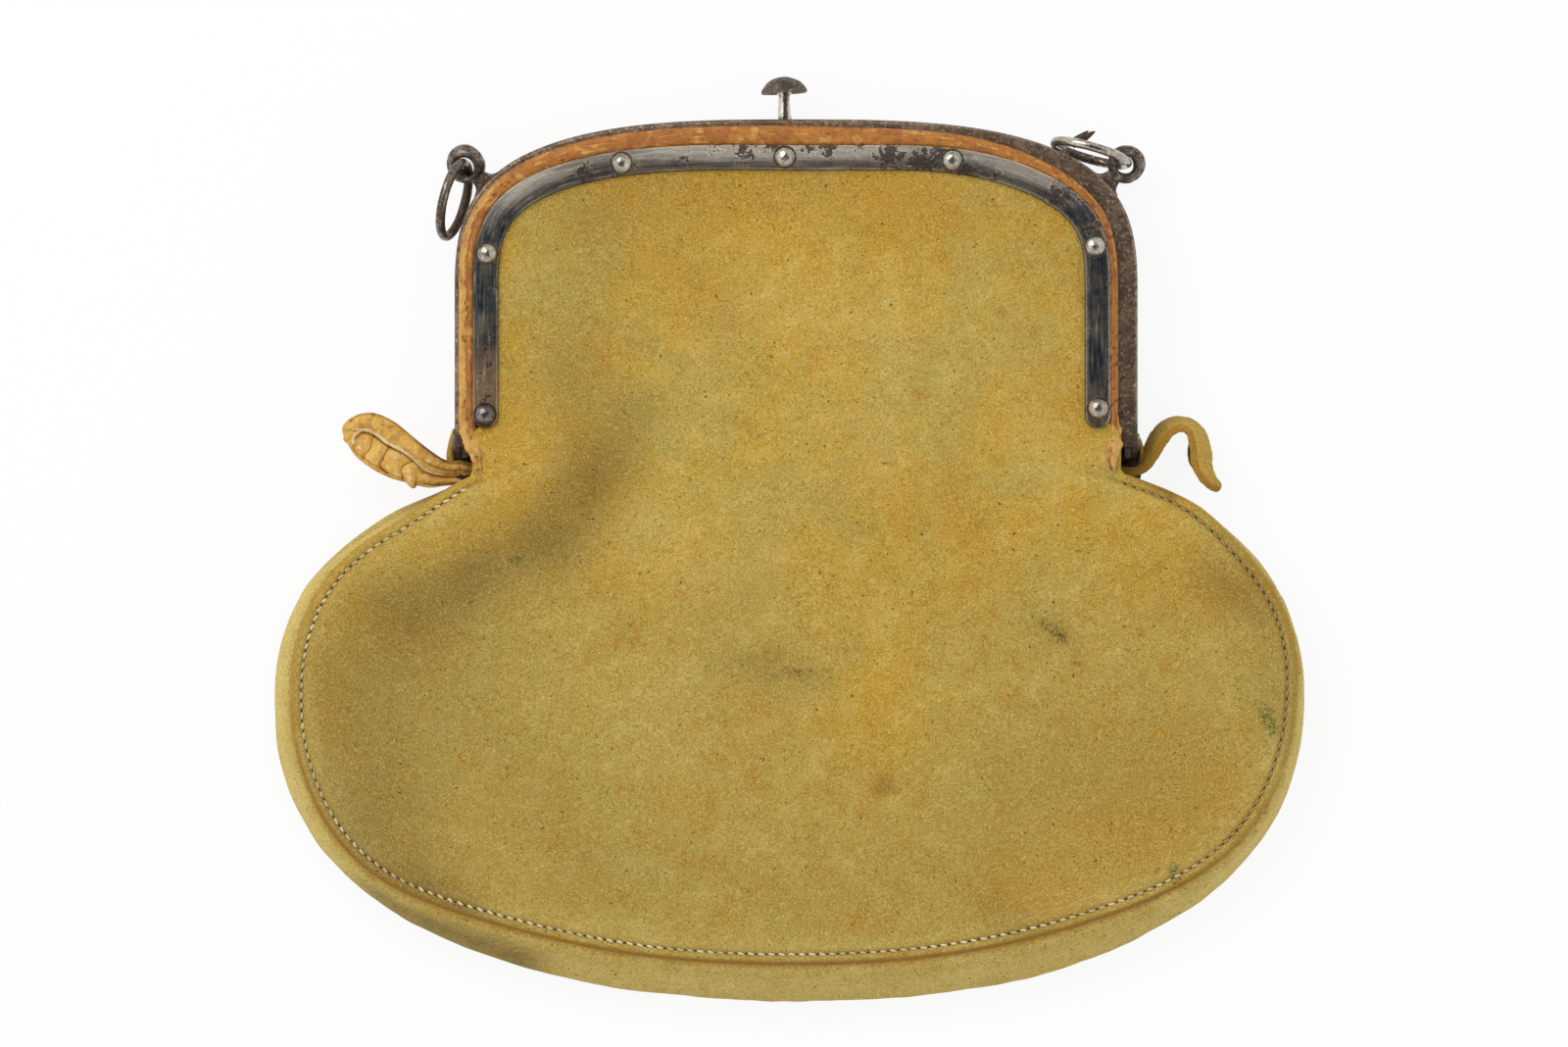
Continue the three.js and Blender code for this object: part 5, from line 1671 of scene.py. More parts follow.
@dataclass
class Bag(Assembly):
    """The suede bag: front and back hides joined by a stitched gusset."""

    suede: float = 1.6
    gusset_suede: float = 1.4
    front_z: float = 18.0
    back_z: float = 2.9
    crown: float = 5.0
    dent: Streak = Streak(20.0, 2.2, ((-0.5 * ARCH.half_width, 0.0), (-0.76 * FRONT_EDGE.half_width, -45.0)))
    gusset_flange: float = 3.6
    side_bulge: float = 3.4
    foot_bulge: float = 6.4
    gusset_end_x: float = 83.8
    seam_inset: float = 2.25
    stitch_pitch: float = 2.6
    stitch_length: float = 1.75
    stitch_end_x: float = 86.0
    front_groove: float = 0.45
    back_groove: float = 0.62
    thread: float = 0.34
    hole_length: float = 0.48
    hole_width: float = 0.28
    sway: float = -1.1
    pulls: tuple[Pull, ...] = (
        Pull(-99.0, -17.0, 16.0, (1.05, -1.83)),
        Pull(121.0, -44.0, 30.0, (1.75, 0.75)),
        Pull(99.0, -19.0, 13.0, (0.3, 1.7)),
        Pull(-105.0, -104.0, 28.0, (-2.6, -3.0)),
        Pull(108.0, -101.0, 28.0, (1.75, -1.9)),
    )
    swells: tuple[Swell, ...] = (
        Swell(-163.0, 24.0, 2.0), Swell(-92.0, 22.0, 0.5), Swell(-44.0, 26.0, 1.1), Swell(-20.0, 7.0, 0.6),
    )
    pleats: Rows = (
        (79.9, 3.3, -3.4, 6.0, 7.6), (84.6, 4.0, -7.3, 2.9, 7.6), (85.2, 4.4, -4.8, 3.6, 6.4),
    )
    sliver: tuple[Point, ...] = ((87.6, -6.8, 8.0), (88.5, -4.4, 8.4), (88.5, -1.2, 8.8))
    sliver_end: tuple[float, float] = (87.8, 9.0)
    creases: tuple[Streak, ...] = streaks(
        (6.5, 1, (-60, -6), (-84, -27), (-104, -38)), (7.5, 1, (-46, -9), (-63, -27), (-88, -44)),
        (5, 1, (80, -8), (58, -30)), (4, 0.8, (74, -4), (50, -22)),
    )
    foot_dirt: Streak = Streak(8.0, 1.0, ((-104, -113), (-92, -122), (-70, -132)))
    side_amber: Streak = Streak(8.0, 0.7, ((126, -28), (131, -50)))
    # Dirt streaks; those down the fold from the left hinge and over the low left are partly painted shade of
    # the fold and dent, and the thin one at the right hinge is a painted shadow.
    dirt: tuple[Streak, ...] = streaks(
        (9, 0.2, (-52, 60), (-40, 66), (-20, 64)), (9, 0.2, (-48, 50), (-50, 20)),
        (7, 0.2, (66, 50), (72, 42)), (9, 0.36, (-57, 18), (-56, 4)),
        (8, 0.5, (-42, 7), (-46, -4), (-51, -11)), (8.5, 0.7, (-51, -8), (-56, -17), (-63, -25)),
        (7.5, 0.6, (-60, -24), (-70, -29), (-84, -35)), (9, 0.56, (-84, -36), (-100, -42)),
        (16, 0.24, (-82, -70), (-66, -88), (-60, -104)), (14, 0.16, (-44, -112), (0, -118), (40, -114)),
        (3, 0.34, (-42, -48), (-41, -49)), (1.6, 0.7, (22, -88), (24.5, -87)),
        (5, 0.3, (-16, -56), (-6, -57)), (1.7, 0.95, (84, -6), (90, -10.5), (96, -15)),
        (9, 0.16, (60, 20), (68, 12)), (6, 0.3, (52, -120), (62, -126)), (16, 0.22, (-60, -32), (-84, -46)),
        (17, 0.56, (-100, -48), (-111, -62), (-103, -92)), (12, 0.3, (-108, -96), (-90, -112)),
        (5, 0.85, (-98, -107), (-83, -117)), (3, 0.4, (-114, -100), (-98, -114), (-70, -126)),
        (4, 0.3, (64, -46), (70, -50)), (6, 0.3, (-4, -57), (4, -60)), (5, 0.2, (-20, -43), (-13, -40)),
        (7, 0.36, (112, -25), (121, -47), (123, -70)), (16, 0.15, (60, -82), (100, -84)),
        (5.5, 0.42, (106, -36), (117, -43)), (14, 0.16, (-60, 60), (-66, 20)),
    )
    # Amber stains; the streak from (-56, -6) to (-84, -24) is a painted highlight on a fold's lit face, and
    # the two short streaks at x 39 to 51 are painted shade of a fold.
    amber: tuple[Streak, ...] = streaks(
        (3, 0.75, (-10, -67), (-9, -68)), (3, 0.95, (22, -88), (24, -87)),
        (2.4, 0.85, (43, -37), (44, -36)), (2, 0.8, (-78, -26), (-77, -25)),
        (7, 0.45, (-30, -91), (-22, -93)), (10, 0.4, (20, -10), (26, -16)), (5, 0.5, (39, -8), (41, -20)),
        (5, 0.45, (49, -22), (51, -34)), (11, 0.75, (2, 68), (20, 64), (38, 60)),
        (9, 0.45, (52, 60), (58, 56)), (9, 0.6, (-34, 48), (-22, 38), (-18, 32)),
        (9, 0.55, (-42, 62), (-24, 66), (-8, 66)), (9, 0.75, (54, -114), (72, -118)),
        (10, 0.55, (82, -100), (92, -104)), (10, 0.4, (98, -70), (108, -88)),
        (9, 0.5, (-110, -42), (-92, -50)), (10, 0.45, (-58, 58), (-46, 62)),
        (7, 0.8, (106, -40), (116, -36)), (8, 0.4, (92, -36), (100, -32)),
        (14, 0.35, (60, -100), (100, -90)), (6, 0.5, (-56, -6), (-70, -16), (-84, -24)),
        (6, 0.5, (-118, -55), (-116, -72)), (9, 0.3, (74, -70), (92, -76)), (8, 0.3, (-6, -72), (-12, -78)),
    )
    pale: tuple[Streak, ...] = streaks(
        (11, 0.24, (-8, 36), (26, 30)), (8, 0.26, (56, 20), (62, -4)), (9, 0.18, (10, 8), (24, -8)),
        (9, 0.22, (-36, -22), (-22, -34)), (9, 0.14, (-34, -68), (-28, -78)),
    )
    green: tuple[Streak, ...] = streaks(
        (2, 0.8, (119, -68), (121.5, -73)), (1.9, 0.8, (96, -107), (96.5, -110)),
        (1.2, 1, (-70.5, -30), (-69.5, -29.5)),
    )
    soot: tuple[Streak, ...] = streaks(
        (2, 0.72, (65, -46.5), (69.5, -50)), (2, 0.55, (-1, -58), (3, -59)),
        (0.9, 0.8, (73, -56), (73.2, -56.6)), (0.7, 0.9, (-94, -79), (-93.6, -79.2)),
        (0.8, 0.8, (5, -57.5), (5.3, -58)),
    )

    def front_under(self, x: Array, y: Array, share: Array) -> Array:
        """The height of the front hide's underside: crowned, with a dent on the left.

        Args:
            x: how far right places are.
            y: how far up they are.
            share: their share of the way from the hide's centre to its rim.

        Returns:
            The heights.
        """
        fullness = 0.5 + 0.5 * np.cos(np.pi * np.clip((share - 0.1) / 0.8, 0, 1))
        fade = 1 - smooth(share, 0.5, 0.9)
        return self.front_z + self.crown * fullness - self.dent.at(x, y) * fade * fullness

    def back_under(self, y: Array) -> Array:
        """The height of the back hide's underside: it lies on the table below the frame."""
        return self.back_z * smooth(y, -28.5, -2.0)

    def tuck(self, x: Array, y: Array) -> Array:
        """How far the front hide's edge is drawn in or pushed out at places."""
        return np.sum([pull.at(x, y) for pull in self.pulls], axis=0)

    def follow(self, x: Array, y: Array) -> Array:
        """The share of the front's tuck that the back takes up, at the left shoulder only."""
        return np.where(x < 0, 0.7, 0.0) * smooth(y, -75, -50)

    def hang(self, y: Array) -> Array:
        """How far to one side the bag lies at heights below the frame."""
        return self.sway * smooth(y, 0.0, -40.0)

    def swelling(self, x: Array, y: Array) -> Array:
        """How much further the gusset stands out at places on its edge."""
        bearing = np.degrees(np.arctan2(y - FRONT_EDGE.centre, x))
        return np.sum([swell.at(bearing) for swell in self.swells], axis=0)

    def panel_grid(self, outline: Outline, sides: int) -> tuple[Array, Array, Array]:
        """A hide's places from rim to centre.

        Args:
            outline: the hide's outline.
            sides: places round the rim.

        Returns:
            x and y, one row for each ring from the rim inwards, and each place's share of
            the way from the centre to the rim.
        """
        angle = outline.spokes(sides)
        reach = outline.reach(angle)
        rim = np.array([0, 0.3, 0.65, 1.0, 1.35, 1.7, 2.0, 2.3, 2.6, 2.95, 3.4, 4.1, 5.2, 7, 9.5, 13, 17])
        outer = 1 - rim[:, None] / reach
        inner = np.linspace(1, 0.035, 32)[1:, None] * outer[-1]
        share = np.concatenate([outer, inner])
        return share * reach * np.cos(angle), outline.centre + share * reach * np.sin(angle), share

    def close_panel(self, top: Array, under: Array, **tags: Array) -> Skin:
        """Joins the upper and lower faces of a hide at the rim, and closes their middles."""
        both = {name: np.concatenate([tag[::-1], tag * (name == "cut")]) for name, tag in tags.items()}
        return Skin.of_grid(np.concatenate([top[::-1], under]), **both)

    def front_hide(self) -> Skin:
        """The front, with its seam pulled in and its clamped top under the band."""
        outline = Outline(FRONT_EDGE)
        x, y, share = self.panel_grid(outline, 460)
        sewn = smooth(y, -6.0, -10.0)
        gap = np.where(sewn > 0, FRONT_EDGE.gap(x, y), 99.0)
        low = self.front_under(x, y, share)
        place = points_of(x, y, 0)
        loose = smooth(share, 0.985, 0.86)
        swell = 0.6 * wobble(place, 34, 1.0) + 0.26 * wobble(place, 13, 5.0)
        fold, trough, tug, slack = (mark.at(x, y) for mark in self.creases)
        soft = loose * (swell + 1.1 * fold - 0.9 * trough + 0.45 * (tug - slack))
        pucker = 0.14 * wobble(place, 2.3, 12.0) * bell(gap - self.seam_inset, 1.6)
        groove = -0.6 * bell(gap - self.seam_inset, 0.55) + 0.45 * bell(gap - 6.0, 3.2) + pucker
        turn = -0.95 * np.clip(1 - gap / 1.1, 0, 1) ** 2
        top = points_of(x, y, low + self.suede + soft + sewn * (groove + turn))
        bottom = points_of(x, y, low + soft * 0.9)
        drawn = self.tuck(x, y)
        drawn[..., 0] += self.hang(y)
        top[..., :2] += drawn
        bottom[..., :2] += drawn
        out = unit(np.stack([x[0], y[0] - outline.centre], -1))
        bottom[0, :, :2] += out * 0.5 * sewn[0, :, None]
        line = (0.25 + 0.75 * smooth(y, -50, -100) * smooth(x, 120, 96)) * sewn
        cut = np.zeros_like(x)
        cut[:3] = np.array((1.0, 0.7, 0.1))[:, None] * line[:3]
        # Dirt streaks, partly painted shade of folds, and darker along the seam's groove.
        dirt = together(self.dirt, x, y) + 0.42 * bell(gap - self.seam_inset, 0.5)
        return self.close_panel(
            top,
            bottom,
            cut=cut,
            dirt=np.clip(dirt, 0, 1),
            amber=together(self.amber, x, y),
            green=together(self.green, x, y),
            soot=together(self.soot, x, y),
            pale=together(self.pale, x, y) + 0.22 * bell(gap - 4.5, 2.0),
            dust=smooth(y, -10, -60) * (1 - bell(np.hypot(x - 22, y + 62), 22)),
        )

    def back_hide(self) -> Skin:
        """The back, which lies on the table."""
        x, y, share = self.panel_grid(Outline(BACK_EDGE), 360)
        sewn = smooth(y, -4.0, -9.0)
        gap = np.where(sewn > 0, BACK_EDGE.gap(x, y), 99.0)
        low = self.back_under(y)
        groove = 0.45 * bell(gap - self.seam_inset, 0.5)
        turn = 0.7 * np.clip(1 - gap / 1.0, 0, 1) ** 2
        place = points_of(x, y, 0)
        swell = 0.35 * (wobble(place, 30, 2.0) + 1.0) * smooth(share, 0.97, 0.8)
        bottom = points_of(x, y, low + 0.02 + sewn * (groove + turn) + swell * 0.4)
        top = points_of(x, y, low + self.suede + swell)
        cut = np.zeros_like(x)
        cut[0] = sewn[0]
        rubbed = 0.3 * bell(gap - 8.0, 7.0) + 0.22 * smooth(wobble(place, 25, 6.0), 0.1, 0.7)
        for face in (bottom, top):
            face[..., 0] += self.hang(y)
            face[..., :2] += self.follow(x, y)[..., None] * self.tuck(x, y)
        return self.close_panel(bottom, top, cut=cut, dirt=rubbed)

    def gusset(self) -> Skin:
        """The strip that joins the hides round the sides and the foot, tucked in at the hinges."""
        angle = FRONT_EDGE.walk(self.gusset_end_x, 1.1)
        front = FRONT_EDGE.point(angle)
        back = BACK_EDGE.point(angle)
        out = FRONT_EDGE.outward(angle)
        drawn = self.tuck(*front.T)
        high = front[:, 1] > FRONT_EDGE.centre
        bare = np.where(high, smooth(np.abs(front[:, 0]), 88, np.where(front[:, 0] < 0, 104, 120)), 1.0)
        downward = np.clip(-out[:, 1], 0, None) ** 2
        bulge = self.side_bulge + (self.foot_bulge - self.side_bulge) * downward
        bulge += self.swelling(*front.T)
        run = points_of(*front.T, 0)
        uneven = 1 + 0.06 * wobble(run, 16, 2.0) + 0.035 * wobble(run, 5, 7.0)
        bulge = (0.3 + (bulge * uneven - 0.3) * bare)[:, None]
        top_z = np.full((len(angle), 1), self.front_z - 0.3)
        low_z = (self.back_under(back[:, 1]) + self.suede + 0.3)[:, None]
        back_out = np.einsum("ij,ij->i", back - front, out)[:, None] * (0.2 + 0.8 * bare[:, None])
        share = 0.5 - 0.5 * np.cos(np.linspace(0, np.pi, 37))
        belly = np.sin(np.pi * share) ** 0.62
        ridges = 0.36 * bell(share - 0.2, 0.17) + 0.75 * bell(share - 0.7, 0.2)
        ridges *= np.sin(np.pi * share) ** 0.3
        shoulder = (smooth(front[:, 1], -40, -22) * (front[:, 0] < 0))[:, None]
        wall = back_out * share + bulge * (belly + shoulder * (ridges - belly))
        height = top_z + (low_z - top_z) * share + 0.55 * bell(share - 0.05, 0.05)
        skin = self.gusset_suede
        inner = wall - skin
        inner_z = top_z - skin + (low_z - top_z + 2 * skin) * share
        flange = np.full((len(angle), 1), self.gusset_flange)
        tuck = back_out - flange
        inset = np.concatenate([-flange, wall, tuck, tuck, inner[:, ::-1], -flange], axis=1)
        level = np.concatenate([top_z, height, low_z, low_z + skin, inner_z[:, ::-1], top_z - skin], axis=1)
        x = front[:, :1] + out[:, :1] * inset
        y = front[:, 1:] + out[:, 1:] * inset
        grid = points_of(x, y, level)
        left = self.follow(*front.T)[:, None]
        grid[..., :2] += drawn[:, None] * (left + (1 - left) * smooth(level, 12.5, 17.5))[..., None]
        grid[..., 0] += self.hang(y)
        wave = 0.35 * wobble(grid, 4.5, 3.0) + 0.2 * wobble(grid * (1, 1, 0.3), 2.2, 6.0)
        near_seam = np.zeros(inset.shape[1])
        near_seam[2:37] = (bell(share - 0.12, 0.16) + 0.4 * bell(share - 0.9, 0.12))[1:36]
        grid[..., :2] += (wave * near_seam * bare[:, None])[..., None] * out[:, None]
        face = np.zeros(inset.shape)
        face[:, 1:38] = 1.0
        along_wall = np.zeros(inset.shape[1])
        along_wall[1:38] = share
        # Painted shade in the valley between the left shoulder's two ridges.
        crease = shoulder * bell(along_wall - 0.42, 0.1) * face
        # Painted shadow at the hinge corners, where the gusset goes in under the frame.
        corner = np.where(high, smooth(np.abs(front[:, 0]), 104, 88), 0.0)[:, None]
        foot_dirt = self.foot_dirt.at(x, y) * smooth(level, 20, 13)
        # Real dirt at the foot, painted shade in the crease and at the hinge corners, and darker along the
        # wall's far edge.
        dirt = foot_dirt + 0.8 * crease + 0.95 * corner + 0.35 * bell(along_wall - 1.0, 0.1)
        cut = 0.55 * bell(along_wall, 0.02) * face
        # Painted light: paler along the gusset's bulge, more so on the sides.
        pale = (0.55 + 0.5 * smooth(np.abs(x), 85, 115)) * bell(along_wall - 0.3, 0.32) * face
        pale *= 1 - corner
        dirt = np.clip(dirt, 0, 1)
        return Skin.of_grid(grid, cut=cut, dirt=dirt, pale=pale, amber=self.side_amber.at(x, y), dust=1.0)

    def corner_pleat(self, side: Side) -> Skin:
        """The gusset's inside, folded in between the two bows beside a hinge, and painted near black as the
        shadow in the hole there.

        Args:
            side: the hinge's side.

        Returns:
            The folds.
        """
        turn = round_turn(40)
        climb = np.linspace(-1.45, 1.45, 21)[:, None]
        flat = np.cos(climb) ** 0.5
        folds = []
        for centre_x, half_x, centre_y, half_y, level in self.pleats:
            x = side.value * (centre_x + half_x * blunted(np.cos(turn), 0.6) * flat)
            y = centre_y + half_y * blunted(np.sin(turn), 0.6) * flat
            grid = points_of(x, y, level + 2.0 * np.sin(climb))
            grid[..., 2] += 0.3 * wobble(grid * (1, 0.4, 1), 1.6, 4.0) * np.sin(climb)
            # Painted shadow: a full crease on the dark lining finish makes the folds near black.
            folds.append(Skin.of_grid(grid, crease=1.0))
        return Skin.joined(folds)

    def corner_sliver(self, side: Side) -> Skin:
        """The narrow fold of suede that comes up outside a hinge.

        Args:
            side: the hinge's side.

        Returns:
            The fold.
        """
        reach, broad = (3.8, 1.3) if side is Side.LEFT else (2.6, 0.9)
        end_x, end_z = self.sliver_end
        route = np.array([*self.sliver, (end_x, reach, end_z)]) * (side.value, 1, 1)
        places, _ = spline(route, 36)
        share = np.linspace(0, 1, 36)
        thick = broad * np.sqrt(np.clip(1 - share**4, 0.03, 1)) * (1 - 0.45 * share)
        grid = tube(places, thick, 16)
        grid[..., 2] = places[:, None, 2] + 1.6 * (grid[..., 2] - places[:, None, 2])
        grid += 0.16 * wobble(grid, 1.2, 3.0)[..., None]
        # Painted shade, darkest at the fold's first end, where it tucks in.
        dirt = 0.7 * smooth(share, 0.6, 0.1)
        return Skin.of_grid(grid, amber=0.4, dirt=dirt[:, None])

    def seam(self, edge: Edge, level: float, up: int) -> tuple[Skin, Skin]:
        """The stitches along a hide's edge, and the needle holes between them.

        Args:
            edge: the hide's edge.
            level: the height of the seam's groove.
            up: 1 for a seam on the front and -1 for one on the back.

        Returns:
            The stitches and the holes.
        """
        angle = edge.walk(self.stitch_end_x, self.stitch_pitch)
        out = edge.outward(angle)
        middle = edge.point(angle) - out * self.seam_inset
        heights = np.full(len(middle), level)
        if up > 0:
            middle += self.tuck(*middle.T)
        else:
            heights += self.back_under(middle[:, 1])
            share = self.follow(*middle.T)[:, None]
            middle += share * self.tuck(*middle.T)
        middle[:, 0] += self.hang(middle[:, 1])
        along = np.stack([-out[:, 1], out[:, 0]], -1)
        share = np.linspace(0, 1, 9)
        thick = self.thread * (1 - (2 * share - 1) ** 4 * 0.75)
        arch = 0.46 * np.sin(np.pi * share) - 0.2
        spin = round_turn(12)
        stitches = []
        holes = []
        for i, (place, ahead, outward, height) in enumerate(zip(middle, along, out, heights)):
            slant = 0.42 + 0.12 * math.sin(1.7 * i)
            stretch = self.stitch_length * (1 + 0.1 * math.sin(2.9 * i))
            step = (share - 0.5)[:, None]
            flat = place + step * stretch * ahead + step * slant * outward
            path = np.column_stack([flat, height + up * arch])
            # Duller, browner thread on the right side above the foot: partly dirty thread, partly painted
            # shade along that seam.
            dull = float(smooth(place[0], 72, 90) * smooth(place[1], -117, -100))
            stitches.append(Skin.of_grid(tube(path, thick, 8), dull=dull))
            spot = place + ahead * self.stitch_pitch / 2
            oval = np.outer(np.cos(spin), ahead * self.hole_length)
            oval += np.outer(np.sin(spin), outward * self.hole_width)
            rings = [spot + oval * size for size in (0.25, 1.0, 0.85, 0.2)]
            depths = height + up * np.array((-0.25, -0.02, 0.06, 0.1))
            grid = np.stack([points_of(*ring.T, depth) for ring, depth in zip(rings, depths)])
            holes.append(Skin.of_grid(grid))
        return Skin.joined(stitches), Skin.joined(holes)

    def dress(self, bench: Bench) -> None:
        """Makes the bag's pieces."""
        bench.lay("front_suede", self.front_hide(), SUEDE, HINGE_BLEND, "suede", ["front_panel"], 70)
        bench.lay("back_suede", self.back_hide(), SUEDE, "bag", "suede", ["back_panel"], 70)
        bench.lay("gusset_suede", self.gusset(), SUEDE, "bag", "suede", ["gusset"], 75)
        for side in Side:
            word = side.word
            bench.lay(f"{word}_corner_pleat", self.corner_pleat(side), LINING_HIDE, "bag", "suede", (), 75)
            bench.lay(f"{word}_corner_sliver", self.corner_sliver(side), SUEDE, "bag", "suede", (), 75)
        front_level = self.front_z + self.suede - self.front_groove
        seams = (("front", FRONT_EDGE, front_level, 1), ("back", BACK_EDGE, self.back_groove, -1))
        for word, edge, level, up in seams:
            stitches, holes = self.seam(edge, level, up)
            bench.lay(f"{word}_seam_stitches", stitches, THREAD, "bag", "suede", (), 80)
            bench.lay(f"{word}_seam_holes", holes, NEEDLE_HOLE, "bag", "suede", (), 80)


# The pull tabs


@dataclass
class FoldedTab(Assembly):
    """The left tab: a turned border round a crumpled lining, seen face on."""

    upper: tuple[Point, ...] = (
        (-79.9, -5.2, 9.2), (-84.6, -4.3, 8.9), (-89.6, -4.3, 9.4), (-93.4, -2.1, 10.8),
        (-97.6, 1.2, 12.0), (-102.6, 5.3, 13.2), (-107.6, 7.6, 14.2), (-111.6, 7.4, 14.9),
        (-114.4, 5.7, 15.0),
    )
    lower: tuple[Point, ...] = (
        (-79.9, -9.2, 8.2), (-84.6, -10.2, 7.8), (-90.1, -10.9, 7.8), (-94.6, -11.3, 8.1),
        (-99.1, -10.25, 8.7), (-103.85, -9.0, 9.7), (-108.85, -6.5, 11.0), (-113.1, -3.0, 12.3),
        (-115.3, 1.2, 13.4),
    )
    thickness: float = 1.9
    steps: int = 170
    columns: int = 91

    def ground(self) -> tuple[Array, Array, Array, Array]:
        """The tongue's bare middle face.

        Returns:
            Its points, its face direction at each, and how far along and across each is.
        """
        u = np.linspace(0, 1, self.steps)[:, None]
        v = np.linspace(-1, 1, self.columns)[None, :]
        high, _ = spline(np.array(self.upper), self.steps)
        low, _ = spline(np.array(self.lower), self.steps)
        share = ((v + 1) / 2)[..., None]
        points = high[:, None] * (1 - share) + low[:, None] * share
        tip = smooth(u, 0.9, 1.0) * (1 - v**2)
        flap = bell(u - 0.475, 0.02) * smooth(v, 0.4, 1.0)
        points += np.array((-1.3, 0.25, 0.1)) * tip[..., None]
        points += np.array((0.5, -1.3, 0.2)) * flap[..., None]
        along = np.gradient(points, axis=0)
        across = np.gradient(points, axis=1)
        return points, unit(np.cross(across, along)), u, v

    def border_line(self, u: Array) -> Array:
        """How far across the border ends, at shares of the length."""
        line = -0.02 - 0.3 * smooth(u, 0.25, 0.62) + 0.2 * smooth(u, 0.88, 0.99) ** 2
        return line + 0.05 * np.sin(21 * u)

    def cord(self, top: Array) -> Skin:
        """The cream cord along the border's edge: two strands twisted together.

        Args:
            top: the tongue's upper face as a grid of points.

        Returns:
            The cord.
        """
        share = np.linspace(0, 1, 360)
        u = np.interp(share, (0.0, 0.8, 0.9, 1.0), (0.24, 0.885, 0.925, 0.905))
        turn = smooth(share, 0.78, 1.0)
        v = (self.border_line(u) + 0.05) * (1 - turn) + 0.55 * turn
        row = u * (self.steps - 1)
        col = (v + 1) / 2 * (self.columns - 1)
        i, j = row.astype(int), col.astype(int)
        p, q = (row - i)[:, None], (col - j)[:, None]
        near = top[i, j] * (1 - q) + top[i, j + 1] * q
        far = top[i + 1, j] * (1 - q) + top[i + 1, j + 1] * q
        path = near * (1 - p) + far * p + (0.0, 0.0, 0.22)
        kernel = np.ones(15) / 15
        padded = np.concatenate([np.repeat(path[:1], 7, 0), path, np.repeat(path[-1:], 7, 0)])
        path = np.stack([np.convolve(padded[:, k], kernel, "valid") for k in range(3)], -1)
        along = unit(np.gradient(path, axis=0))
        aside = unit(np.cross(along, (0.0, 0.0, 1.0)))
        over = np.cross(aside, along)
        strands = []
        for start in (0.0, np.pi):
            spin = (2 * np.pi * 24 * share + start)[:, None]
            strand = path + 0.26 * np.cos(spin) * aside + 0.18 * np.sin(spin) * over
            thick = 0.27 * np.sqrt(np.clip(1 - (2 * share - 1) ** 16, 0.05, 1))
            strands.append(Skin.of_grid(tube(strand, thick, 8), pale=0.4))
        return Skin.joined(strands)

    def skins(self) -> tuple[Skin, Skin]:
        """The tongue with its border, folds and lining in one skin, and its cord."""
        points, face, u, v = self.ground()
        face *= np.sign(face[..., 2:].mean())
        line = self.border_line(u)
        below = v - line
        upper = smooth(below, 0.05, -0.05)
        lower = smooth(v, 0.84, 0.91) * smooth(u, 0.5, 0.58)
        tip = smooth(u + 0.05 * v**2, 0.915, 0.945)
        border = np.maximum(np.maximum(upper, lower), tip)
        pocket = (1 - border) * smooth(u, 0.4, 0.5)
        root = 1 - smooth(u, 0.34, 0.52)
        drift = 0.55 * wobble(points_of(9 * u, 2 * v, 0), 1.4, 11.0)
        phase = np.pi * (7.6 * u - 0.55 * v + 0.9 * (v - 0.2) ** 2 + drift)
        pillow = np.abs(np.sin(phase))
        strand = np.pi * (1.7 * v + 1.2 * u + 0.25 * np.sin(6 * u))
        rope = np.abs(np.sin(strand))
        roll = np.sqrt(np.clip(1 - ((v - (line - 1) / 2) / ((line + 1) / 2 + 0.04)) ** 2, 0, 1)) * upper
        wrinkle = wobble(points, 1.5, 6.0)
        lift = 0.85 + 0.55 * border + 0.85 * roll + 0.6 * pocket * pillow**0.7
        lift += root * (0.75 * rope**0.7 - 0.2) * (1 - 0.5 * upper)
        lift += 0.2 * wrinkle + 0.1 * wobble(points, 0.7, 2.0)
        ridge = bell(below - 0.06, 0.045) * smooth(u, 0.3, 0.45) * (1 - tip)
        ditch = bell(below - 0.17, 0.05) * smooth(u, 0.3, 0.45) * (1 - tip)
        lift += 0.4 * ridge - 0.45 * ditch
        edge = np.sqrt(np.clip(1 - np.abs(v) ** 9, 0, 1)) * np.sqrt(np.clip(1 - u**40, 0.02, 1))
        top = points + face * (lift * edge)[..., None]
        under = points - face * (self.thickness / 2 * edge)[..., None]
        # Crease: painted shade in the ditch below the ridge, between the pocket's pleats and the root's
        # folds, along the lower and upper edges and at the root, and darker wrinkles on the border.
        crease = 0.85 * ditch + 0.75 * pocket * bell(pillow, 0.22) + 0.85 * root * bell(rope, 0.26)
        crease += 0.6 * bell(v - 0.8, 0.05) * smooth(u, 0.48, 0.58) * (1 - tip)
        crease += 0.45 * smooth(v, -0.9, -1.0) + 0.6 * smooth(u, 0.16, 0.02)
        crease += border * (0.2 + 0.3 * smooth(wrinkle, 0.1, 0.5))
        stitch = 0.55 + 0.45 * np.sin(2 * np.pi * 46 * u)
        # Pale: stitches along the ridge, and painted highlights on the tops of the pocket's pleats and the
        # root's folds.
        pale = 0.95 * ridge * stitch + 0.4 * pocket * smooth(pillow, 0.6, 1.0)
        pale += 0.3 * root * smooth(rope, 0.6, 1.0)
        plain = np.zeros_like(crease)
        loop = np.concatenate([top, under[:, ::-1]], axis=1)
        tongue = Skin.of_grid(
            loop,
            crease=np.concatenate([np.clip(crease, 0, 1), plain], axis=1),
            pale=np.concatenate([np.clip(pale, 0, 1), plain], axis=1),
        )
        return tongue, self.cord(top)

    def dress(self, bench: Bench) -> None:
        """Makes the tab and its cord."""
        tongue, cord = self.skins()
        solids = ["left_tab", "left_tab_lining"]
        bench.lay("left_folded_tab", tongue, TAB_HIDE, "bag", "tab_leather", solids, 75)
        bench.lay("left_tab_cord", cord, TAB_CORD, "bag", "tab_leather", (), 80)


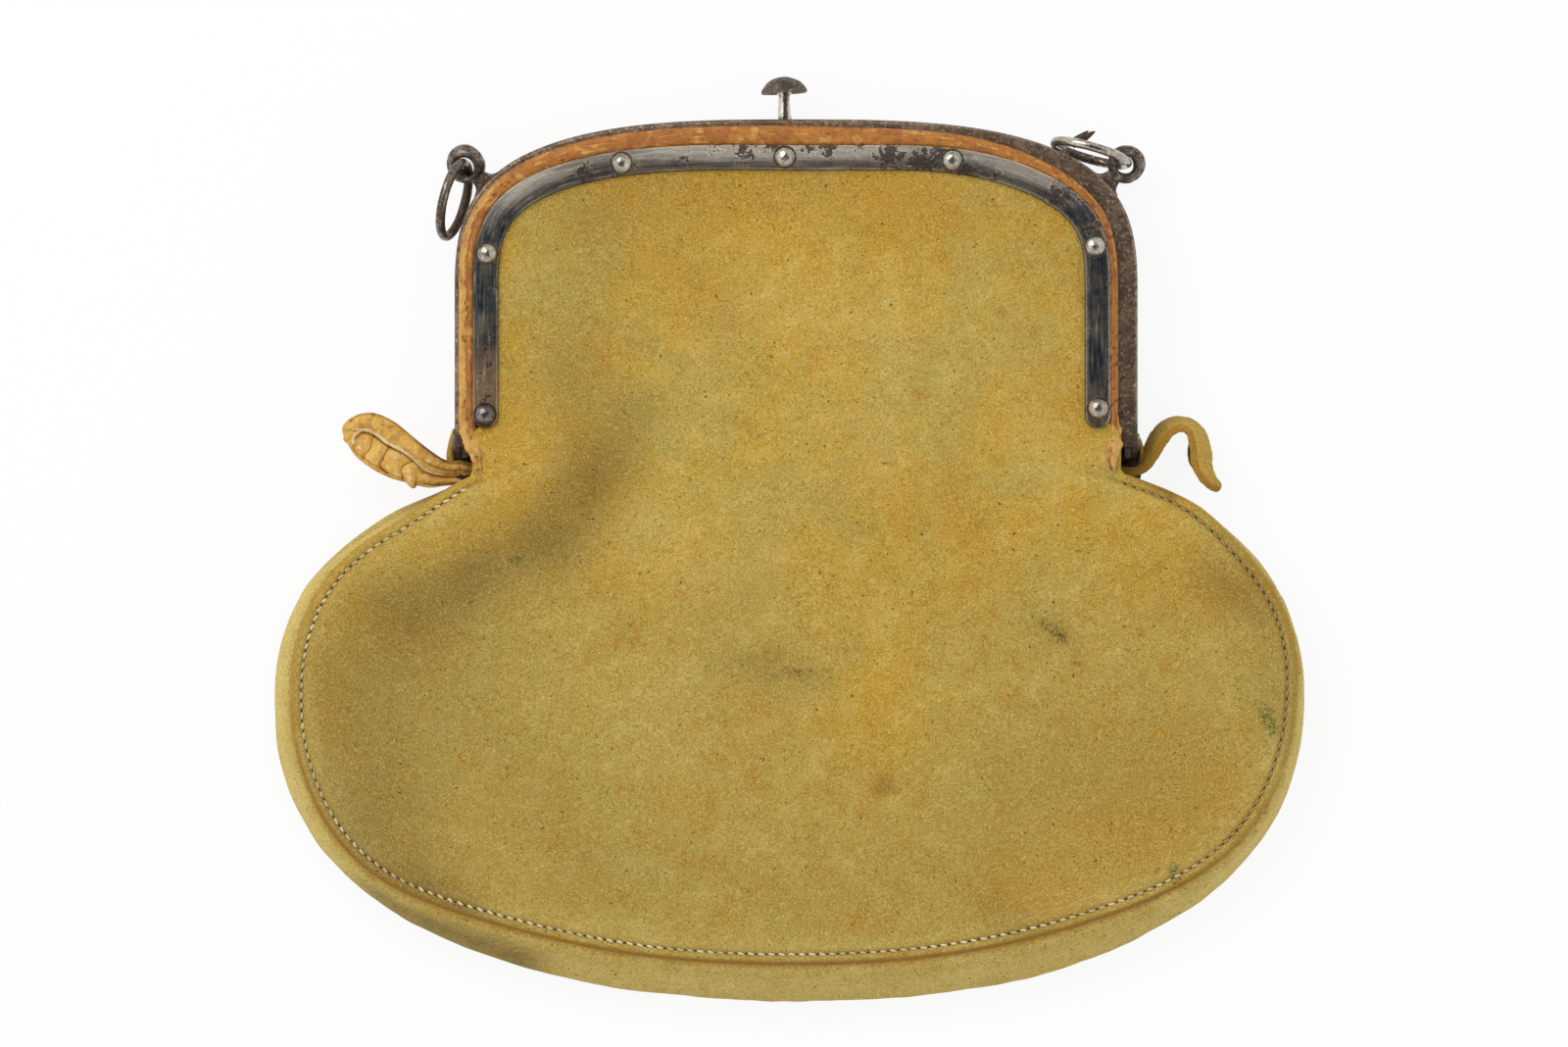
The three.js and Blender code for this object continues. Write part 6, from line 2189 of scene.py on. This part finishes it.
@dataclass
class CurledTab(Assembly):
    """The right tab: an arched strip of suede that stands on its edge."""

    route: tuple[Point, ...] = (
        (78.2, -5.4, 8.4), (82.8, -6.6, 8.4), (87.7, -6.6, 8.4), (90.6, -3.2, 8.4), (92.7, 0.8, 8.5),
        (95.5, 4.0, 8.6), (99.3, 4.9, 8.6), (102.5, 2.6, 8.6), (103.8, -1.6, 8.6), (104.2, -5.6, 8.6),
        (105.9, -9.2, 8.6), (108.8, -11.9, 8.6),
    )
    thickness: float = 2.2
    root_half: float = 3.0
    half: float = 6.2
    tilt: float = 0.42
    steps: int = 150

    def spine(self) -> tuple[Array, Array, Array, Array]:
        """The strip's middle line, its leaning width and its face directions, and half widths."""
        places, along = spline(np.array(self.route), self.steps)
        face = unit(np.cross(along, np.array((0.0, 0.2, 1.0))))
        width = np.cross(face, along) + self.tilt * face
        share = np.linspace(0, 1, self.steps)
        full = self.root_half + (self.half - self.root_half) * smooth(share, 0.15, 0.55)
        tip = np.sqrt(np.clip(1 - np.clip((share - 0.8) / 0.2, 0, 1) ** 2, 0.03, 1))
        return places, width, face, full * tip

    def skin(self) -> Skin:
        """The strip, with its cut edges showing the hide's inside."""
        places, width, face, half = self.spine()
        turn = round_turn(48)
        side = blunted(np.cos(turn), 0.3)
        depth = blunted(np.sin(turn), 0.55)
        end = np.sqrt(np.clip(1 - (2 * np.linspace(0, 1, self.steps) - 1) ** 60, 0.05, 1))
        ground = places[:, None] + width[:, None] * (half[:, None] * side)[..., None]
        grid = ground + face[:, None] * (end[:, None] * depth * self.thickness / 2)[..., None]
        rough = 0.16 * wobble(grid, 2.2, 3.0) + 0.14 * wobble(grid, 0.8, 5.0)
        grid += face[:, None] * rough[..., None]
        grid[..., 2] = np.maximum(grid[..., 2], 0.3)
        cut = smooth(np.abs(side), 0.82, 0.97) * np.ones((self.steps, 1))
        share = np.linspace(0, 1, self.steps)[:, None]
        inside = smooth(depth, -0.2, 0.6) * np.ones((self.steps, 1))
        # Darker at the root, painted shade where the strip tucks under, and darker towards the tip.
        return Skin.of_grid(
            grid,
            cut=0.62 * cut + 0.35 * inside * (1 - cut),
            amber=0.8 * cut + 0.3 * smooth(share, 0.85, 1.0),
            dirt=0.55 * smooth(share, 0.26, 0.06) + 0.35 * smooth(share, 0.9, 1.0),
        )

    def lining(self) -> Skin:
        """The scrap of dark lining left on the inside of the curl."""
        places, width, face, half = self.spine()
        rows = slice(int(self.steps * 0.68), int(self.steps * 0.84))
        v = np.linspace(-0.6, 0.8, 21)[None, :]
        ground = places[rows][:, None] + width[rows][:, None] * (half[rows][:, None] * v)[..., None]
        u = np.linspace(0, 1, ground.shape[0])[:, None]
        hump = np.sin(np.pi * u) ** 0.5
        curl = self.thickness / 2 - 0.3 + 0.5 * hump + 0.18 * wobble(ground, 1.5, 4.0)
        over = ground + face[rows][:, None] * (curl + 0.45 * hump)[..., None]
        under = ground + face[rows][:, None] * (curl - 0.15)[..., None]
        loop = np.concatenate([over, under[:, ::-1]], axis=1)
        return Skin.of_grid(loop, crease=0.75)

    def dress(self, bench: Bench) -> None:
        """Makes the tab and its lining."""
        bench.lay("right_curled_tab", self.skin(), SUEDE, "bag", "suede", ["right_tab"], 60)
        solids = ["right_tab_lining"]
        bench.lay("right_tab_lining_scrap", self.lining(), LINING_HIDE, "bag", "tab_leather", solids, 60)


# The studio


@dataclass
class Studio:
    """A plain white table under soft light, and a camera straight above the pouch."""

    view_x: float = -3.1
    view_y: float = 3.4
    view_z: float = 20.0
    view_width: float = 400.0
    lens: float = 180.0
    sensor: float = 36.0
    floor_half: float = 12.0
    sky: float = 0.77
    lamp_watts: float = 11.0
    lamp_size: float = 1.2
    lamp_place: Point = (-0.75, 0.95, 1.35)

    def camera(self) -> None:
        """Puts the camera over the pouch, as wide as the photograph's frame."""
        data = bpy.data.cameras.new("overhead_camera")
        data.lens = self.lens
        data.sensor_width = self.sensor
        data.clip_end = 100.0
        camera = put("overhead_camera", data)
        distance = self.view_width * self.lens / self.sensor
        camera.location = Vector((self.view_x, self.view_y, self.view_z + distance)) * MM
        bpy.context.scene.camera = camera

    def floor(self) -> None:
        """Lays the table: white to the camera, with the pouch's shadow left on it."""
        half = self.floor_half
        square = [(-half, -half, 0), (half, -half, 0), (half, half, 0), (-half, half, 0)]
        mesh = bpy.data.meshes.new("table")
        mesh.from_pydata(square, [], [(0, 1, 2, 3)])
        material, r = new_recipe("white_table", Place.SOLID)
        path = r.node("ShaderNodeLightPath")
        seen = Value(r, path.outputs["Is Camera Ray"]).most(Value(r, path.outputs["Is Glossy Ray"]))
        seen = seen.most(Value(r, path.outputs["Is Transmission Ray"]))
        matt = r.node("ShaderNodeBsdfDiffuse", None, {"Color": (0.93, 0.93, 0.93)})
        white = r.node("ShaderNodeEmission", None, {"Color": (1.0, 1.0, 1.0), "Strength": 1.0})
        sockets = {0: seen * 0.9, 1: matt.outputs[0], 2: white.outputs[0]}
        r.finish(r.node("ShaderNodeMixShader", None, sockets))
        mesh.materials.append(material)
        put("table", mesh)

    def light(self) -> None:
        """Surrounds the pouch with soft light that is dimmer straight above, and adds one lamp."""
        world = bpy.data.worlds.new("soft_studio")
        world.use_nodes = True
        bpy.context.scene.world = world
        r = Recipe(world.node_tree)
        way = r.node("ShaderNodeTexCoord").outputs["Generated"]
        parts = r.node("ShaderNodeSeparateXYZ", None, {0: way}).outputs
        height = Value(r, parts["Z"])
        aside = Value(r, parts["X"])
        glow = 0.66 + height.step(0.12, 0.4) * 0.5 + (aside * aside).step(0.06, 0.5) * 0.35
        glow = glow - height.step(0.76, 0.93) * 0.94
        path = r.node("ShaderNodeLightPath")
        seen = Value(r, path.outputs["Is Camera Ray"])
        strength = glow * self.sky * (1.0 - seen) + seen
        back = r.node("ShaderNodeBackground", None, {"Color": (1.0, 1.0, 1.0), "Strength": strength})
        r.node("ShaderNodeOutputWorld", None, {"Surface": back.outputs[0]})
        data = bpy.data.lights.new("soft_box", "AREA")
        data.shape = "SQUARE"
        data.size = self.lamp_size
        data.energy = self.lamp_watts
        lamp = put("soft_box", data)
        lamp.location = self.lamp_place
        lamp.rotation_mode = "QUATERNION"
        lamp.rotation_quaternion = (-lamp.location).to_track_quat("-Z", "Y")

    def set_up(self) -> None:
        """Makes the camera, the table and the light."""
        self.camera()
        self.floor()
        self.light()
        bpy.context.scene.view_settings.view_transform = "Standard"


def main() -> None:
    """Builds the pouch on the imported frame, in order."""
    logging.basicConfig(level=logging.INFO, format="%(name)s: %(message)s")
    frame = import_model()
    hinge = next(joint for joint in frame["joints"] if joint["name"] == "frame_hinge")
    bench = Bench(hinge_y=hinge["pos_m"][1])
    Studio().set_up()
    assemblies: list[Assembly] = [
        FrameHalf(Half.REAR, "bag"),
        FrameHalf(Half.FRONT, "front_frame"),
        PushButton(),
        StrapFitting(Side.LEFT, -14.0, RING_STEEL, "steel", 34.0, 3.75),
        StrapFitting(Side.RIGHT, -6.5, BRIGHT_STEEL, "bright_steel", -14.0, 3.55, eye_depth=1.25),
        Bag(),
        FoldedTab(),
        CurledTab(),
    ]
    for assembly in assemblies:
        assembly.dress(bench)
    for node in ("left_hinge_pin", "right_hinge_pin", "stem_guide", "catch_fork"):
        solid = frame["nodes"][node]
        solid.data.materials.clear()
        solid.data.materials.append(bench.material(HIDDEN_STEEL))


if __name__ == "__main__":
    main()
